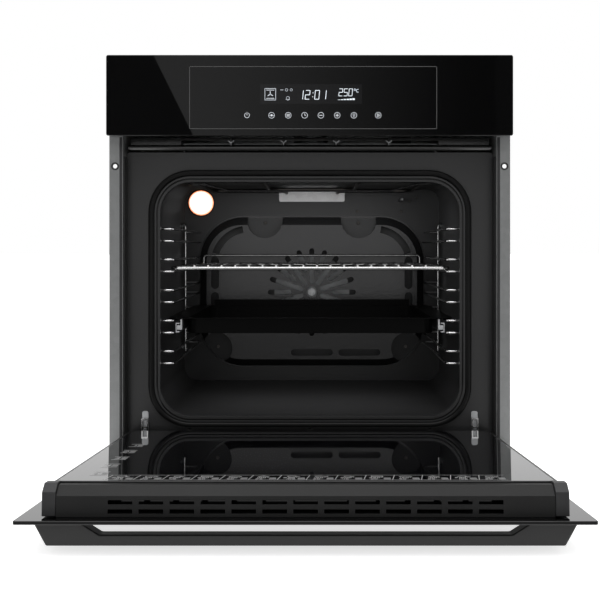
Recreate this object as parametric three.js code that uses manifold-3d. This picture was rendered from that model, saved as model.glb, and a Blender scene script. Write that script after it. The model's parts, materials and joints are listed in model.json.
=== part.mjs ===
// A built-in wall oven, 60 cm class, with its drop-down door open against its stop.
// Millimetres, +Z up, +Y to the back. The origin is the middle of the base panel's underside.
import * as THREE from "three";
import { mergeVertices } from "three/addons/utils/BufferGeometryUtils.js";
import Module from "manifold-3d";

const wasm = await Module();
wasm.setup();

// ---------- driving dimensions ----------
const GAP = 0.3; // clearance between pieces that touch
const SHEET = 1.2; // outer casing steel
const ENAMEL = 1.6; // enamelled cavity steel
const CAVITY_W = 490; // inside the liner
const CAVITY_H = 367;
const CAVITY_DEPTH = 395;
const CAVITY_R = 26;
const CAVITY_LOW = 60; // cavity floor
const MOUTH_LEDGE = 20; // liner wall to the side of the mouth
const MOUTH_H = 352;
const MOUTH_LOW = 62;
const MOUTH_R = 46;
const LIP_W = 8.5; // rolled lip round the mouth
const LIP_T = 6;
const GASKET_W = 9;
const GASKET_T = 7;
const WRAP_T = 26; // insulation
const SIDE_SPACE = 33; // liner to the outside of the casing
const SERVICE_SPACE = 72; // insulation to the rear cover, for the fan motor
const FLANGE_OUT = 19; // flange beyond the casing's side
const FLANGE_SETBACK = 20; // fascia to the mounting flange
const FLANGE_LOW = 12;
const FLANGE_HOLE_Z = 436;
const FLANGE_HOLE_R = 3.2;
const FLANGE_HOLE_IN = 8.5; // flange's edge to the hole
const FASCIA_Y = -296; // front face of the control glass
const FASCIA_EXTRA = 1; // glass wider than the flanges
const GLASS_T = 4; // door and control glass
const PANEL_H = 118; // control glass
const TOP_Z = 597; // top edge of the control glass
const CASE_DROP = 20; // casing's top below the control glass's
const FRAME_SETBACK = 46; // fascia to the enamelled front frame
const FRAME_BOTTOM = 13;
const OUTLET_H = 20; // air outlet between the frame and the control glass
const OUTLET_LIP_R = 4.2;
const DOOR_GAP = 3; // closed door to the control glass
const DOOR_SKIRT = 18; // outer glass below the hinge axis
const DOOR_T = 38; // outer face to inner face
const DOOR_SILL = 9; // hinge axis to the inner glass's lower edge
const DOOR_FOOT = -9; // lower end of the rails
const PANE_OVERHANG = 9; // rails beyond the inner glass
const MIDDLE_Y = -9; // middle glass's outer face
const RAIL_T = 1.5;
const CAP_D = 32; // vented cap along the door
const DOOR_OPEN = THREE.MathUtils.degToRad(86.5);
const DOOR_BOX_INSET = 26.5; // outer glass's edge to the side rails
const DOOR_TOP_INSET = 16; // outer glass's edge to the vented cap
const CAP_H = 20; // inner glass's edge to the cap's face
const CAP_BEVEL = 10;
const VENT_COLUMNS = 13;
const VENT_PITCH = 31.9;
const VENT_W = 25.4;
const VENT_H = 4.5;
const VENT_ROWS = [-0.4, -9.9]; // from the hinge axis towards the outer glass
const HINGE_SETBACK = 20; // fascia to the hinge axis
const HINGE_Z = 27;
const HINGE_FROM_MOUTH = 23; // side of the mouth to the middle of each hinge
const HINGE_GAP = 11; // between the two flanges of the hinge channel
const ARM_T = 5;
const PIN_R = 4;
const SPRING_Y = -7; // sprung rod, behind the outer glass
const SPRING_R = 5;
const SPRING_LOW = 62; // lower end, from the hinge axis
const SPRING_HIGH = 149.5;
const SPRING_ROD_R = 2.5;
const CHANNEL_H = 262; // hinge channel's top, from the hinge axis
const HANDLE_INSET = 10.5; // glass's edge to the handle's foot
const HANDLE_OUT = 28; // stands this far off the glass
const HANDLE_BAR = 11.5;
const HANDLE_D = 18;
const HANDLE_FROM_TOP = 29;
const HANDLE_RAKE = 16; // how far each foot leans in
const HANDLE_FOOT = 45; // foot's length on the glass
const HEATER_R = 3.4;
const HEATER_BORE = HEATER_R + 1; // holes in the walls for the heaters' legs
const GRILL_LEG_X = 49;
const GRILL_OUT_X = 185; // outer runs of the grill heater
const LOWER_LEG_X = 40;
const LOWER_OUT_X = 180;
const RING_R = 97; // ring heater round the fan
const RING_LEG_X = 9;
const LAMP_R = 24;
const LAMP_HOLDER_R = 20;
const BULB_R = 9;
const PROBE_R = 2.8;
const SHAFT_R = 4;
const FAN_Z = 231;
const FAN_R = 72;
const FAN_BLADES = 10;
const COVER_MARGIN = 28; // fan cover to the liner's side walls
const COVER_H = 290;
const COVER_R = 85;
const COVER_D = 32;
const COVER_T = 1.5;
const LOW_BITE_R = 30; // flat ground for the cover's lower screws
const LOW_BITE_IN = [37, 39]; // from the cover's corner
const HIGH_BITE_R = 34;
const HIGH_BITE = [89, 9]; // from the middle and from the top edge
const STAR_SLOTS = 20;
const STAR_SLOT_W = 9.6;
const STAR_OUT = 83;
const STAR_IN = [38, 16]; // short and long slots in turn
const SIDE_SLOT = [61, 15, 183]; // length, width and distance from the middle
const ARC_SLOT = [119, 54, 72, 59]; // centre from the fan's, outer and inner radius
const COVER_SLOPE = 16; // sloped edge of the fan cover, seen from the front
const BLOWER_Y = 330; // fascia to the blower's shaft
const BLOWER_R = 84;
const BLOWER_H = 34;
const BLOWER_T = 1.5;
const BLOWER_WHEEL_R = 66;
const BLOWER_BLADES = 16;
const DUCT_X = 192;
const DUCT_H = 16;
const RACK_WIRE_R = 2;
const RACK_POST_R = 2.5;
const RACK_STANDOFF = 7; // liner's wall to the rack's posts
const RACK_REACH = 29; // posts to the long wires
const LEVELS = 5;
const LEVEL_PITCH = 47;
const LEVEL_TOP_Z = 344; // upper wire of the top level
const LEVEL_SLOT = 18.6; // upper wire to lower wire
const SHELF_OVERLAP = 5; // shelf over each long wire
const SHELF_D = 326;
const SHELF_LEVEL = 1; // levels count from 0 at the top
const CROSS_R = 1.6;
const FENCE_R = 2;
const SHELF_ROD_R = 3;
const SHELF_WIRES = 18;
const SHELF_WIRE_PITCH = 21;
const FENCE_H = 17;
const TRAY_OVERLAP = 12; // tray's wings over each long wire
const TRAY_D = 325;
const TRAY_LEVEL = 3;
const TRAY_WING = 18; // rack's long wires to the pan's sides, with a runner between
const TRAY_R = 18;
const TRAY_RIM = 6; // rim beyond the pan, front and rear
const TRAY_H = 24;
const TRAY_WALL = 1.5;
const TRAY_FENCE = 11; // rear upstand above the rim
const RUNNER_L = 325;
const RUNNER_H = 15;
const RUNNER_W = 6;
const RUNNER_DROP = 3; // level's upper wire to the channel's top
const RUNNER_T = 1.5;

// ---------- places that follow from them ----------
const at = (setback) => FASCIA_Y + setback;
const CASE_W = CAVITY_W + 2 * SIDE_SPACE;
const CASE_X = CASE_W / 2;
const CASE_TOP = TOP_Z - CASE_DROP;
const FLANGE_X = CASE_X + FLANGE_OUT;
const WIDTH = 2 * FLANGE_X + FASCIA_EXTRA;
const PANEL_BOTTOM = TOP_Z - PANEL_H;
const FRAME_TOP = PANEL_BOTTOM - OUTLET_H;
const FRAME_Y = at(FRAME_SETBACK);
const MOUTH_W = CAVITY_W - 2 * MOUTH_LEDGE;
const MOUTH_Z = MOUTH_LOW + MOUTH_H / 2;
const CAVITY_Z = CAVITY_LOW + CAVITY_H / 2;
const CAVITY_TOP = CAVITY_LOW + CAVITY_H;
const CAVITY_FRONT = FRAME_Y + 4.5;
const CAVITY_REAR = CAVITY_FRONT + CAVITY_DEPTH;
const THROUGH_WALL = CAVITY_REAR + ENAMEL + WRAP_T + 14; // where heater legs end
const REAR_Y = CAVITY_REAR + ENAMEL + WRAP_T + SERVICE_SPACE;
const COVER_W = CAVITY_W - 2 * COVER_MARGIN;
const COVER_FACE = CAVITY_REAR - GAP - COVER_D;
const BASE_FRONT = FRAME_Y + 4;
const GRILL_Z = CAVITY_TOP - 6;
const LOWER_HEATER_Z = CAVITY_LOW - ENAMEL - 7;
const LAMP = [-(CAVITY_W / 2 - 32), CAVITY_TOP - 26];
const PROBE = [CAVITY_W / 2 - 75, CAVITY_TOP - 21];
const RACK_POST_X = CAVITY_W / 2 - RACK_STANDOFF;
const RACK_INNER_X = RACK_POST_X - RACK_REACH;
const RACK_FRONT = CAVITY_FRONT + 22;
const RACK_REAR = COVER_FACE - 6;
const SHELF_W = 2 * (RACK_INNER_X + SHELF_OVERLAP);
const TRAY_W = 2 * (RACK_INNER_X + TRAY_OVERLAP);
const levelZ = (n) => LEVEL_TOP_Z - n * LEVEL_PITCH; // upper wire of level n, from the top
const HINGE_X = MOUTH_W / 2 + HINGE_FROM_MOUTH;
const DOOR_L = PANEL_BOTTOM - DOOR_GAP - HINGE_Z; // hinge axis to the outer glass's top edge

// ---------- solids ----------
function solid(geometry) {
  const plain = geometry.clone();
  for (const name of Object.keys(plain.attributes)) if (name !== "position") plain.deleteAttribute(name);
  const merged = mergeVertices(plain, 1e-4);
  return new wasm.Manifold(
    new wasm.Mesh({
      numProp: 3,
      vertProperties: new Float32Array(merged.attributes.position.array),
      triVerts: new Uint32Array(merged.index.array),
    }),
  );
}

function geometryOf(made) {
  const mesh = made.getMesh();
  const points = new Float32Array(mesh.numVert * 3);
  for (let i = 0; i < mesh.numVert; i++) {
    points.set(mesh.vertProperties.subarray(i * mesh.numProp, i * mesh.numProp + 3), i * 3);
  }
  const geometry = new THREE.BufferGeometry();
  geometry.setAttribute("position", new THREE.BufferAttribute(points, 3));
  geometry.setIndex(new THREE.BufferAttribute(mesh.triVerts, 1));
  geometry.computeVertexNormals();
  return geometry;
}

const join = (first, ...rest) => rest.reduce((all, one) => all.add(one), first);
const cut = (first, ...rest) => rest.reduce((left, one) => left.subtract(one), first);

// A box between two corners.
function box(x0, x1, y0, y1, z0, z1) {
  const g = new THREE.BoxGeometry(x1 - x0, y1 - y0, z1 - z0);
  return solid(g.translate((x0 + x1) / 2, (y0 + y1) / 2, (z0 + z1) / 2));
}

// A rounded rectangle about (cx, cy), as a Shape or as a Path for a hole.
function rounded(w, h, r, cx = 0, cy = 0) {
  const s = new THREE.Shape();
  const [l, b, right, t] = [cx - w / 2, cy - h / 2, cx + w / 2, cy + h / 2];
  s.moveTo(l + r, b);
  s.lineTo(right - r, b);
  s.absarc(right - r, b + r, r, -Math.PI / 2, 0);
  s.lineTo(right, t - r);
  s.absarc(right - r, t - r, r, 0, Math.PI / 2);
  s.lineTo(l + r, t);
  s.absarc(l + r, t - r, r, Math.PI / 2, Math.PI);
  s.lineTo(l, b + r);
  s.absarc(l + r, b + r, r, Math.PI, 1.5 * Math.PI);
  return s;
}

// A shape drawn in X and Z, thickened along Y from y0 to y1.
function slab(shape, y0, y1, curveSegments = 8) {
  const g = new THREE.ExtrudeGeometry(shape, { depth: y1 - y0, bevelEnabled: false, curveSegments });
  return solid(g.rotateX(Math.PI / 2).translate(0, y1, 0));
}

// A shape drawn in Y and Z, thickened along X from x0 to x1.
function sideSlab(shape, x0, x1, curveSegments = 8) {
  const g = new THREE.ExtrudeGeometry(shape, { depth: x1 - x0, bevelEnabled: false, curveSegments });
  return solid(g.rotateX(Math.PI / 2).rotateZ(Math.PI / 2).translate(x0, 0, 0));
}

// A shape drawn in X and Y, thickened along Z from z0 to z1.
function flatSlab(shape, z0, z1, curveSegments = 8) {
  const g = new THREE.ExtrudeGeometry(shape, { depth: z1 - z0, bevelEnabled: false, curveSegments });
  return solid(g.translate(0, 0, z0));
}

function outline(points) {
  return new THREE.Shape(points.map(([x, y]) => new THREE.Vector2(x, y)));
}

// A cylinder of radius r between two points.
function rod(r, from, to, sides = 6) {
  const a = new THREE.Vector3(...from);
  const b = new THREE.Vector3(...to);
  const way = b.clone().sub(a);
  const g = new THREE.CylinderGeometry(r, r, way.length(), sides);
  g.applyQuaternion(new THREE.Quaternion().setFromUnitVectors(new THREE.Vector3(0, 1, 0), way.normalize()));
  return solid(g.translate((a.x + b.x) / 2, (a.y + b.y) / 2, (a.z + b.z) / 2));
}

const rodX = (r, x0, x1, y, z, sides) => rod(r, [x0, y, z], [x1, y, z], sides);
const rodY = (r, y0, y1, x, z, sides) => rod(r, [x, y0, z], [x, y1, z], sides);
const rodZ = (r, z0, z1, x, y, sides) => rod(r, [x, y, z0], [x, y, z1], sides);

// A round tube of radius r along straight runs with rounded corners.
function bentTube(r, points, bend, steps, sides = 6) {
  const path = new THREE.CurvePath();
  const v = points.map((p) => new THREE.Vector3(...p));
  let start = v[0];
  for (let i = 1; i < v.length - 1; i++) {
    const before = v[i].clone().add(v[i - 1].clone().sub(v[i]).setLength(bend));
    const after = v[i].clone().add(v[i + 1].clone().sub(v[i]).setLength(bend));
    path.add(new THREE.LineCurve3(start, before));
    path.add(new THREE.QuadraticBezierCurve3(before, v[i], after));
    start = after;
  }
  path.add(new THREE.LineCurve3(start, v[v.length - 1]));
  const section = new THREE.Shape();
  section.absarc(0, 0, r, 0, 2 * Math.PI);
  const options = { extrudePath: path, steps, bevelEnabled: false, curveSegments: sides / 2 };
  return solid(new THREE.ExtrudeGeometry(section, options));
}

// A straight slot of overall length and width, turned about Y, at (x, z), as a cutter from y0 to y1.
function slotCutter(length, width, x, z, angle, y0, y1) {
  const s = rounded(length, width, width / 2 - 0.01);
  const g = new THREE.ExtrudeGeometry(s, { depth: y1 - y0, bevelEnabled: false, curveSegments: 2 });
  return solid(g.rotateX(Math.PI / 2).rotateY(-angle).translate(x, y1, z));
}

// ---------- materials ----------
const paint = (color, roughness, metalness) => new THREE.MeshStandardMaterial({ color, roughness, metalness });
const looks = {
  zinc: paint(0x8d908f, 0.45, 0.9),
  enamel: paint(0x2a2a2b, 0.25, 0.1),
  blackGlass: paint(0x050506, 0.06, 0.0),
  blackMetal: paint(0x161617, 0.4, 0.4),
  blackPlastic: paint(0x101011, 0.35, 0.0),
  rubber: paint(0x0c0c0c, 0.8, 0.0),
  chrome: paint(0xd0d0d0, 0.12, 1.0),
  steel: paint(0xb4b6b8, 0.3, 1.0),
  wool: paint(0xc9c3a8, 0.95, 0.0),
  board: paint(0x14532d, 0.6, 0.0),
  lampGlass: paint(0xfff1d6, 0.1, 0.0),
};

const oven = new THREE.Group();
const door = new THREE.Group();
door.position.set(0, at(HINGE_SETBACK), HINGE_Z);
door.rotation.x = DOOR_OPEN;
oven.add(door);

function add(name, made, look, group = oven) {
  const mesh = new THREE.Mesh(geometryOf(made), looks[look]);
  mesh.name = name;
  group.add(mesh);
}

const sides = [
  ["left", -1],
  ["right", 1],
];
// A box given for the right-hand side, on either side.
function sideBox(s, x0, x1, y0, y1, z0, z1) {
  return s > 0 ? box(x0, x1, y0, y1, z0, z1) : box(-x1, -x0, y0, y1, z0, z1);
}

// ---------- casing ----------
function casing() {
  const wall = CASE_X - SHEET;
  let base = box(-wall + GAP, wall - GAP, BASE_FRONT, REAR_Y - GAP - SHEET, 0, SHEET);
  base = join(base, box(-wall + GAP, wall - GAP, BASE_FRONT, BASE_FRONT + SHEET, 0, 10));
  for (let i = 0; i < 6; i++) {
    const x = (i - 2.5) * 70;
    base = cut(base, box(x - 25, x + 25, REAR_Y - 80, REAR_Y - 74, -1, SHEET + 1));
  }
  add("base_panel", base, "zinc");

  for (const [side, s] of sides) {
    const front = at(FLANGE_SETBACK);
    const notch = FLANGE_LOW;
    const hole = rodY(FLANGE_HOLE_R, front - 2, front + 4, s * (FLANGE_X - FLANGE_HOLE_IN), FLANGE_HOLE_Z, 16);
    const panel = join(
      sideBox(s, wall, CASE_X, front, REAR_Y - GAP, SHEET + GAP, CASE_TOP - SHEET - GAP),
      sideBox(s, wall, FLANGE_X, front, front + SHEET, notch, PANEL_BOTTOM + 12),
    );
    const swing = sideBox(s, wall - 1, CASE_X + 1, front - 1, BASE_FRONT, -1, notch);
    add(`side_panel_${side}`, cut(panel, swing, hole), "zinc");
  }

  const apronY = at(FLANGE_SETBACK + 0.6);
  const lid = join(
    box(-CASE_X, CASE_X, apronY, REAR_Y - GAP, CASE_TOP - SHEET, CASE_TOP),
    box(-wall + GAP, wall - GAP, apronY, apronY + SHEET, PANEL_BOTTOM + 5, CASE_TOP - SHEET / 2),
  );
  const lidVents = [];
  for (let row = 0; row < 3; row++) {
    for (let i = 0; i < 8; i++) {
      const x = (i - 3.5) * 52;
      const y = REAR_Y - 60 - row * 18;
      lidVents.push(box(x - 20, x + 20, y, y + 5, CASE_TOP - 4, CASE_TOP + 2));
    }
  }
  add("top_cover", cut(lid, ...lidVents), "zinc");

  const back = box(-CASE_X, CASE_X, REAR_Y, REAR_Y + SHEET, SHEET + GAP, CASE_TOP);
  const backVents = [];
  for (let row = 0; row < 4; row++) {
    for (let i = 0; i < 7; i++) {
      const x = (i - 3) * 48;
      const z = FAN_Z - 30 + row * 20;
      backVents.push(box(x - 18, x + 18, REAR_Y - 1, REAR_Y + 4, z, z + 6));
    }
  }
  add("rear_cover", cut(back, ...backVents, box(160, 200, REAR_Y - 1, REAR_Y + 4, 520, 540)), "zinc");

  const block = box(150, 210, REAR_Y + SHEET + GAP, REAR_Y + 20, 505, 555);
  add("terminal_block", cut(block, rodX(5, 130, 180, REAR_Y + 11, 530, 12)), "blackPlastic");
}

// ---------- front frame, lip, gasket and air outlet ----------
function front() {
  const hole = rounded(MOUTH_W + 2 * (LIP_W + GAP), MOUTH_H + 2 * (LIP_W + GAP), MOUTH_R + LIP_W, 0, MOUTH_Z);
  const edge = CASE_X - SHEET - GAP;
  const plate = rounded(2 * edge, FRAME_TOP - FRAME_BOTTOM, 5, 0, (FRAME_TOP + FRAME_BOTTOM) / 2);
  plate.holes.push(hole);
  let frame = slab(plate, FRAME_Y, FRAME_Y + ENAMEL);
  for (const s of [-1, 1]) {
    const wing = sideBox(s, edge - ENAMEL, edge, at(FLANGE_SETBACK + 4), FRAME_Y + ENAMEL, FRAME_BOTTOM + 8, FRAME_TOP - 8);
    const slit = box(s * HINGE_X - 4, s * HINGE_X + 4, FRAME_Y - 2, FRAME_Y + 4, HINGE_Z - 11, HINGE_Z + 21);
    frame = cut(join(frame, wing), slit);
  }
  add("front_frame", frame, "enamel");

  const seal = rounded(
    MOUTH_W + 2 * (LIP_W + 2 * GAP + GASKET_W),
    MOUTH_H + 2 * (LIP_W + 2 * GAP + GASKET_W),
    MOUTH_R + LIP_W + GASKET_W,
    0,
    MOUTH_Z,
  );
  const inner = MOUTH_W + 2 * (LIP_W + 2 * GAP);
  const sealHole = rounded(inner, inner - MOUTH_W + MOUTH_H, MOUTH_R + LIP_W, 0, MOUTH_Z);
  seal.holes.push(sealHole);
  add("door_gasket", slab(seal, FRAME_Y - GAP - GASKET_T, FRAME_Y - GAP), "rubber");

  // The outlet of the cooling air: a floor with a rolled lip, a slotted back and ribs between the slots.
  const [y, back, low] = [at(34), FRAME_Y + 8, FRAME_TOP + 2];
  const x = CASE_X - 6;
  const pitch = 79;
  let outlet = join(
    box(-x, x, y + OUTLET_LIP_R, back + 1.5, low, low + 1.5),
    rodX(OUTLET_LIP_R, -x, x, y + OUTLET_LIP_R, low + OUTLET_LIP_R, 10),
    box(-x, x, back, back + 1.5, low, PANEL_BOTTOM + 3),
  );
  for (let i = -2; i <= 2; i++) {
    const [x0, x1] = [i * pitch - pitch / 2 + 2.5, i * pitch + pitch / 2 - 2.5];
    outlet = cut(outlet, box(x0, x1, back - 1, back + 3, low + 5, PANEL_BOTTOM - 1));
  }
  for (const i of [-1.5, -0.5, 0.5, 1.5]) {
    outlet = join(outlet, box(i * pitch - 1.5, i * pitch + 1.5, y + 6, back + 1, low + 1, PANEL_BOTTOM + 3));
  }
  add("air_outlet_trim", outlet, "blackMetal");
}

// ---------- control panel ----------
function controls() {
  const mid = (TOP_Z + PANEL_BOTTOM) / 2;
  add("control_glass", slab(rounded(WIDTH, PANEL_H, 3, 0, mid), at(0), at(GLASS_T), 4), "blackGlass");
  const [near, far] = [at(GLASS_T + GAP), at(FLANGE_SETBACK - GAP)];
  const tub = cut(
    box(-CASE_X - 2, CASE_X + 2, near, far, PANEL_BOTTOM + 5, TOP_Z - 5),
    box(-CASE_X + 1, CASE_X - 1, near + 3, far + 1, PANEL_BOTTOM + 8, TOP_Z - 8),
    box(-62, 42, near - 1, near + 4, mid - 2, mid + 26),
  );
  add("control_housing", tub, "blackPlastic");
  const board = join(
    box(-120, 95, near + 8, near + 9.6, PANEL_BOTTOM + 16, TOP_Z - 20),
    box(-60, 40, near + 0.5, near + 8.2, mid, mid + 24),
  );
  add("display_board", board, "board");
}

// ---------- cavity ----------
function cavity() {
  const outerW = CAVITY_W + 2 * ENAMEL;
  const outerH = CAVITY_H + 2 * ENAMEL;
  const mouth = rounded(MOUTH_W, MOUTH_H, MOUTH_R, 0, MOUTH_Z);
  const lip = rounded(MOUTH_W + 2 * LIP_W, MOUTH_H + 2 * LIP_W, MOUTH_R + LIP_W, 0, MOUTH_Z);
  lip.holes.push(mouth);
  const front = FRAME_Y + ENAMEL + GAP;
  const shell = cut(
    slab(rounded(outerW, outerH, CAVITY_R + ENAMEL, 0, CAVITY_Z), front, CAVITY_REAR + ENAMEL, 5),
    slab(rounded(CAVITY_W, CAVITY_H, CAVITY_R, 0, CAVITY_Z), CAVITY_FRONT, CAVITY_REAR, 5),
    slab(mouth, front - 1, CAVITY_FRONT + 1),
  );
  const [back, beyond] = [CAVITY_REAR - 2, CAVITY_REAR + ENAMEL + 2];
  const holes = [
    rodY(LAMP_HOLDER_R + 1, back, beyond, LAMP[0], LAMP[1], 16),
    rodY(SHAFT_R + 5, back, beyond, 0, FAN_Z, 12),
    ...[-1, 1].flatMap((s) => [
      rodY(HEATER_BORE, back, beyond, s * GRILL_LEG_X, GRILL_Z, 8),
      rodY(HEATER_BORE, back, beyond, s * RING_LEG_X, FAN_Z - RING_R, 8),
    ]),
    rodY(PROBE_R + 0.7, back, beyond, PROBE[0], PROBE[1], 8),
  ];
  add("cavity_liner", cut(join(shell, slab(lip, FRAME_Y - LIP_T, front + 0.5)), ...holes), "enamel");

  const inW = outerW + 2 * GAP;
  const low = CAVITY_LOW - ENAMEL - 14;
  const high = CAVITY_TOP + ENAMEL + GAP;
  const wrapX = CASE_X - SHEET - 2;
  const rear = CAVITY_REAR + ENAMEL + GAP;
  const wrap = cut(
    box(-wrapX, wrapX, front + 4, rear + WRAP_T, low - WRAP_T, high + WRAP_T),
    box(-inW / 2, inW / 2, front - 1, rear, low, high),
    ...sides.map(([, s]) => sideBox(s, HINGE_X - 12, wrapX + 1, front - 1, FRAME_Y + 32, low - WRAP_T - 1, HINGE_Z + 22)),
    rodY(LAMP_HOLDER_R + 6, rear - 2, rear + WRAP_T + 2, LAMP[0], LAMP[1], 16),
    rodY(SHAFT_R + 10, rear - 2, rear + WRAP_T + 2, 0, FAN_Z, 12),
    ...[-1, 1].flatMap((s) => [
      rodY(HEATER_BORE, rear - 2, rear + WRAP_T + 2, s * GRILL_LEG_X, GRILL_Z, 8),
      rodY(HEATER_BORE, rear - 2, rear + WRAP_T + 2, s * RING_LEG_X, FAN_Z - RING_R, 8),
      rodY(HEATER_BORE, rear - 2, rear + WRAP_T + 2, s * LOWER_LEG_X, LOWER_HEATER_Z, 8),
    ]),
    rodY(PROBE_R + 1.2, rear - 2, rear + WRAP_T + 2, PROBE[0], PROBE[1], 8),
  );
  add("insulation_wrap", wrap, "wool");
}

// ---------- heaters, lamp and probe ----------

// Straight runs to and fro, from one leg to the other.
function serpentine(z, legX, outX, nearY, farY) {
  const inX = outX * 0.42;
  return [
    [-legX, THROUGH_WALL, z],
    [-legX, farY, z],
    [-outX, farY, z],
    [-outX, nearY, z],
    [-inX, nearY, z],
    [-inX, farY - 45, z],
    [inX, farY - 45, z],
    [inX, nearY, z],
    [outX, nearY, z],
    [outX, farY, z],
    [legX, farY, z],
    [legX, THROUGH_WALL, z],
  ];
}

function heating() {
  const near = CAVITY_FRONT + 70;
  add("grill_heater", bentTube(HEATER_R, serpentine(GRILL_Z, GRILL_LEG_X, GRILL_OUT_X, near, CAVITY_REAR - 60), 20, 72), "steel");
  const lower = serpentine(LOWER_HEATER_Z, LOWER_LEG_X, LOWER_OUT_X, near, CAVITY_REAR - 40);
  add("bottom_heater", bentTube(HEATER_R, lower, 20, 64), "steel");

  const ringY = CAVITY_REAR - 15;
  const turn = [];
  const legAngle = Math.asin(RING_LEG_X / RING_R);
  const [first, last] = [-Math.PI / 2 + legAngle, 1.5 * Math.PI - legAngle];
  for (let i = 0; i <= 40; i++) {
    const a = first + ((last - first) * i) / 40;
    turn.push(new THREE.Vector3(RING_R * Math.cos(a), ringY, FAN_Z + RING_R * Math.sin(a)));
  }
  const section = new THREE.Shape();
  section.absarc(0, 0, HEATER_R, 0, 2 * Math.PI);
  const around = { extrudePath: new THREE.CatmullRomCurve3(turn), steps: 48, bevelEnabled: false, curveSegments: 3 };
  let ring = solid(new THREE.ExtrudeGeometry(section, around));
  for (const s of [-1, 1]) {
    ring = join(ring, rodY(HEATER_R, ringY - HEATER_R, THROUGH_WALL, s * RING_LEG_X, FAN_Z - RING_R, 8));
  }
  add("ring_heater", ring, "steel");

  // The plate that carries the grill heater's legs, with its lower edge showing.
  const plate = rounded(2 * GRILL_LEG_X + 28, 20, 3, 0, GRILL_Z - 7.5);
  const wallY = CAVITY_REAR - GAP;
  const notches = [-1, 1].flatMap((s) => [
    rodY(HEATER_R + GAP, wallY - 5, wallY + 2, s * GRILL_LEG_X, GRILL_Z, 10),
    rodY(4, wallY - 5, wallY + 2, s * 17, GRILL_Z + 6, 8),
    rodY(4, wallY - 5, wallY + 2, s * 32, GRILL_Z + 6, 8),
  ]);
  add("heater_bracket", cut(slab(plate, wallY - 2, wallY, 3), ...notches), "steel");

  const dome = new THREE.LatheGeometry(
    [
      [0, 0],
      [LAMP_R, 0],
      [LAMP_R, 4],
      [LAMP_R - 3, 8],
      [LAMP_R - 10, 10.5],
      [0, 12],
    ].map(([r, h]) => new THREE.Vector2(r, h)),
    20,
  );
  add("lamp_lens", solid(dome.rotateX(Math.PI).translate(LAMP[0], wallY, LAMP[1])), "lampGlass");
  const holder = join(
    rodY(LAMP_HOLDER_R, CAVITY_REAR + GAP, CAVITY_REAR + 40, LAMP[0], LAMP[1], 16),
    rodY(BULB_R + 2, CAVITY_REAR + 39, CAVITY_REAR + 62, LAMP[0], LAMP[1], 12),
  );
  const bulbRoom = rodY(BULB_R + 3, CAVITY_REAR - 1, CAVITY_REAR + 30, LAMP[0], LAMP[1], 12);
  add("lamp_holder", cut(holder, bulbRoom), "steel");
  const bulb = join(
    rodY(BULB_R - 4, CAVITY_REAR + 16, CAVITY_REAR + 30 - GAP, LAMP[0], LAMP[1], 10),
    rodY(BULB_R, CAVITY_REAR + 3, CAVITY_REAR + 17, LAMP[0], LAMP[1], 12),
  );
  add("lamp_bulb", bulb, "lampGlass");

  const probe = rodY(PROBE_R, CAVITY_REAR - 45, CAVITY_REAR + 40, PROBE[0], PROBE[1], 8);
  add("temperature_probe", probe, "chrome");
}

// ---------- convection fan ----------
// A rounded plate whose edges slope back and outwards, from its face at y0 to a middle plane, cut off at yEnd.
function dish(w, h, r, y0, middle, yEnd) {
  const options = {
    depth: 0.01,
    bevelThickness: middle - y0,
    bevelSize: COVER_SLOPE,
    bevelSegments: 1,
    curveSegments: 6,
  };
  const g = new THREE.ExtrudeGeometry(rounded(w, h, r, 0, FAN_Z), options);
  const made = solid(g.rotateX(Math.PI / 2).translate(0, middle + 0.005, 0));
  return cut(made, box(-w, w, yEnd, middle + 2 * COVER_D, FAN_Z - h, FAN_Z + h));
}

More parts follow.
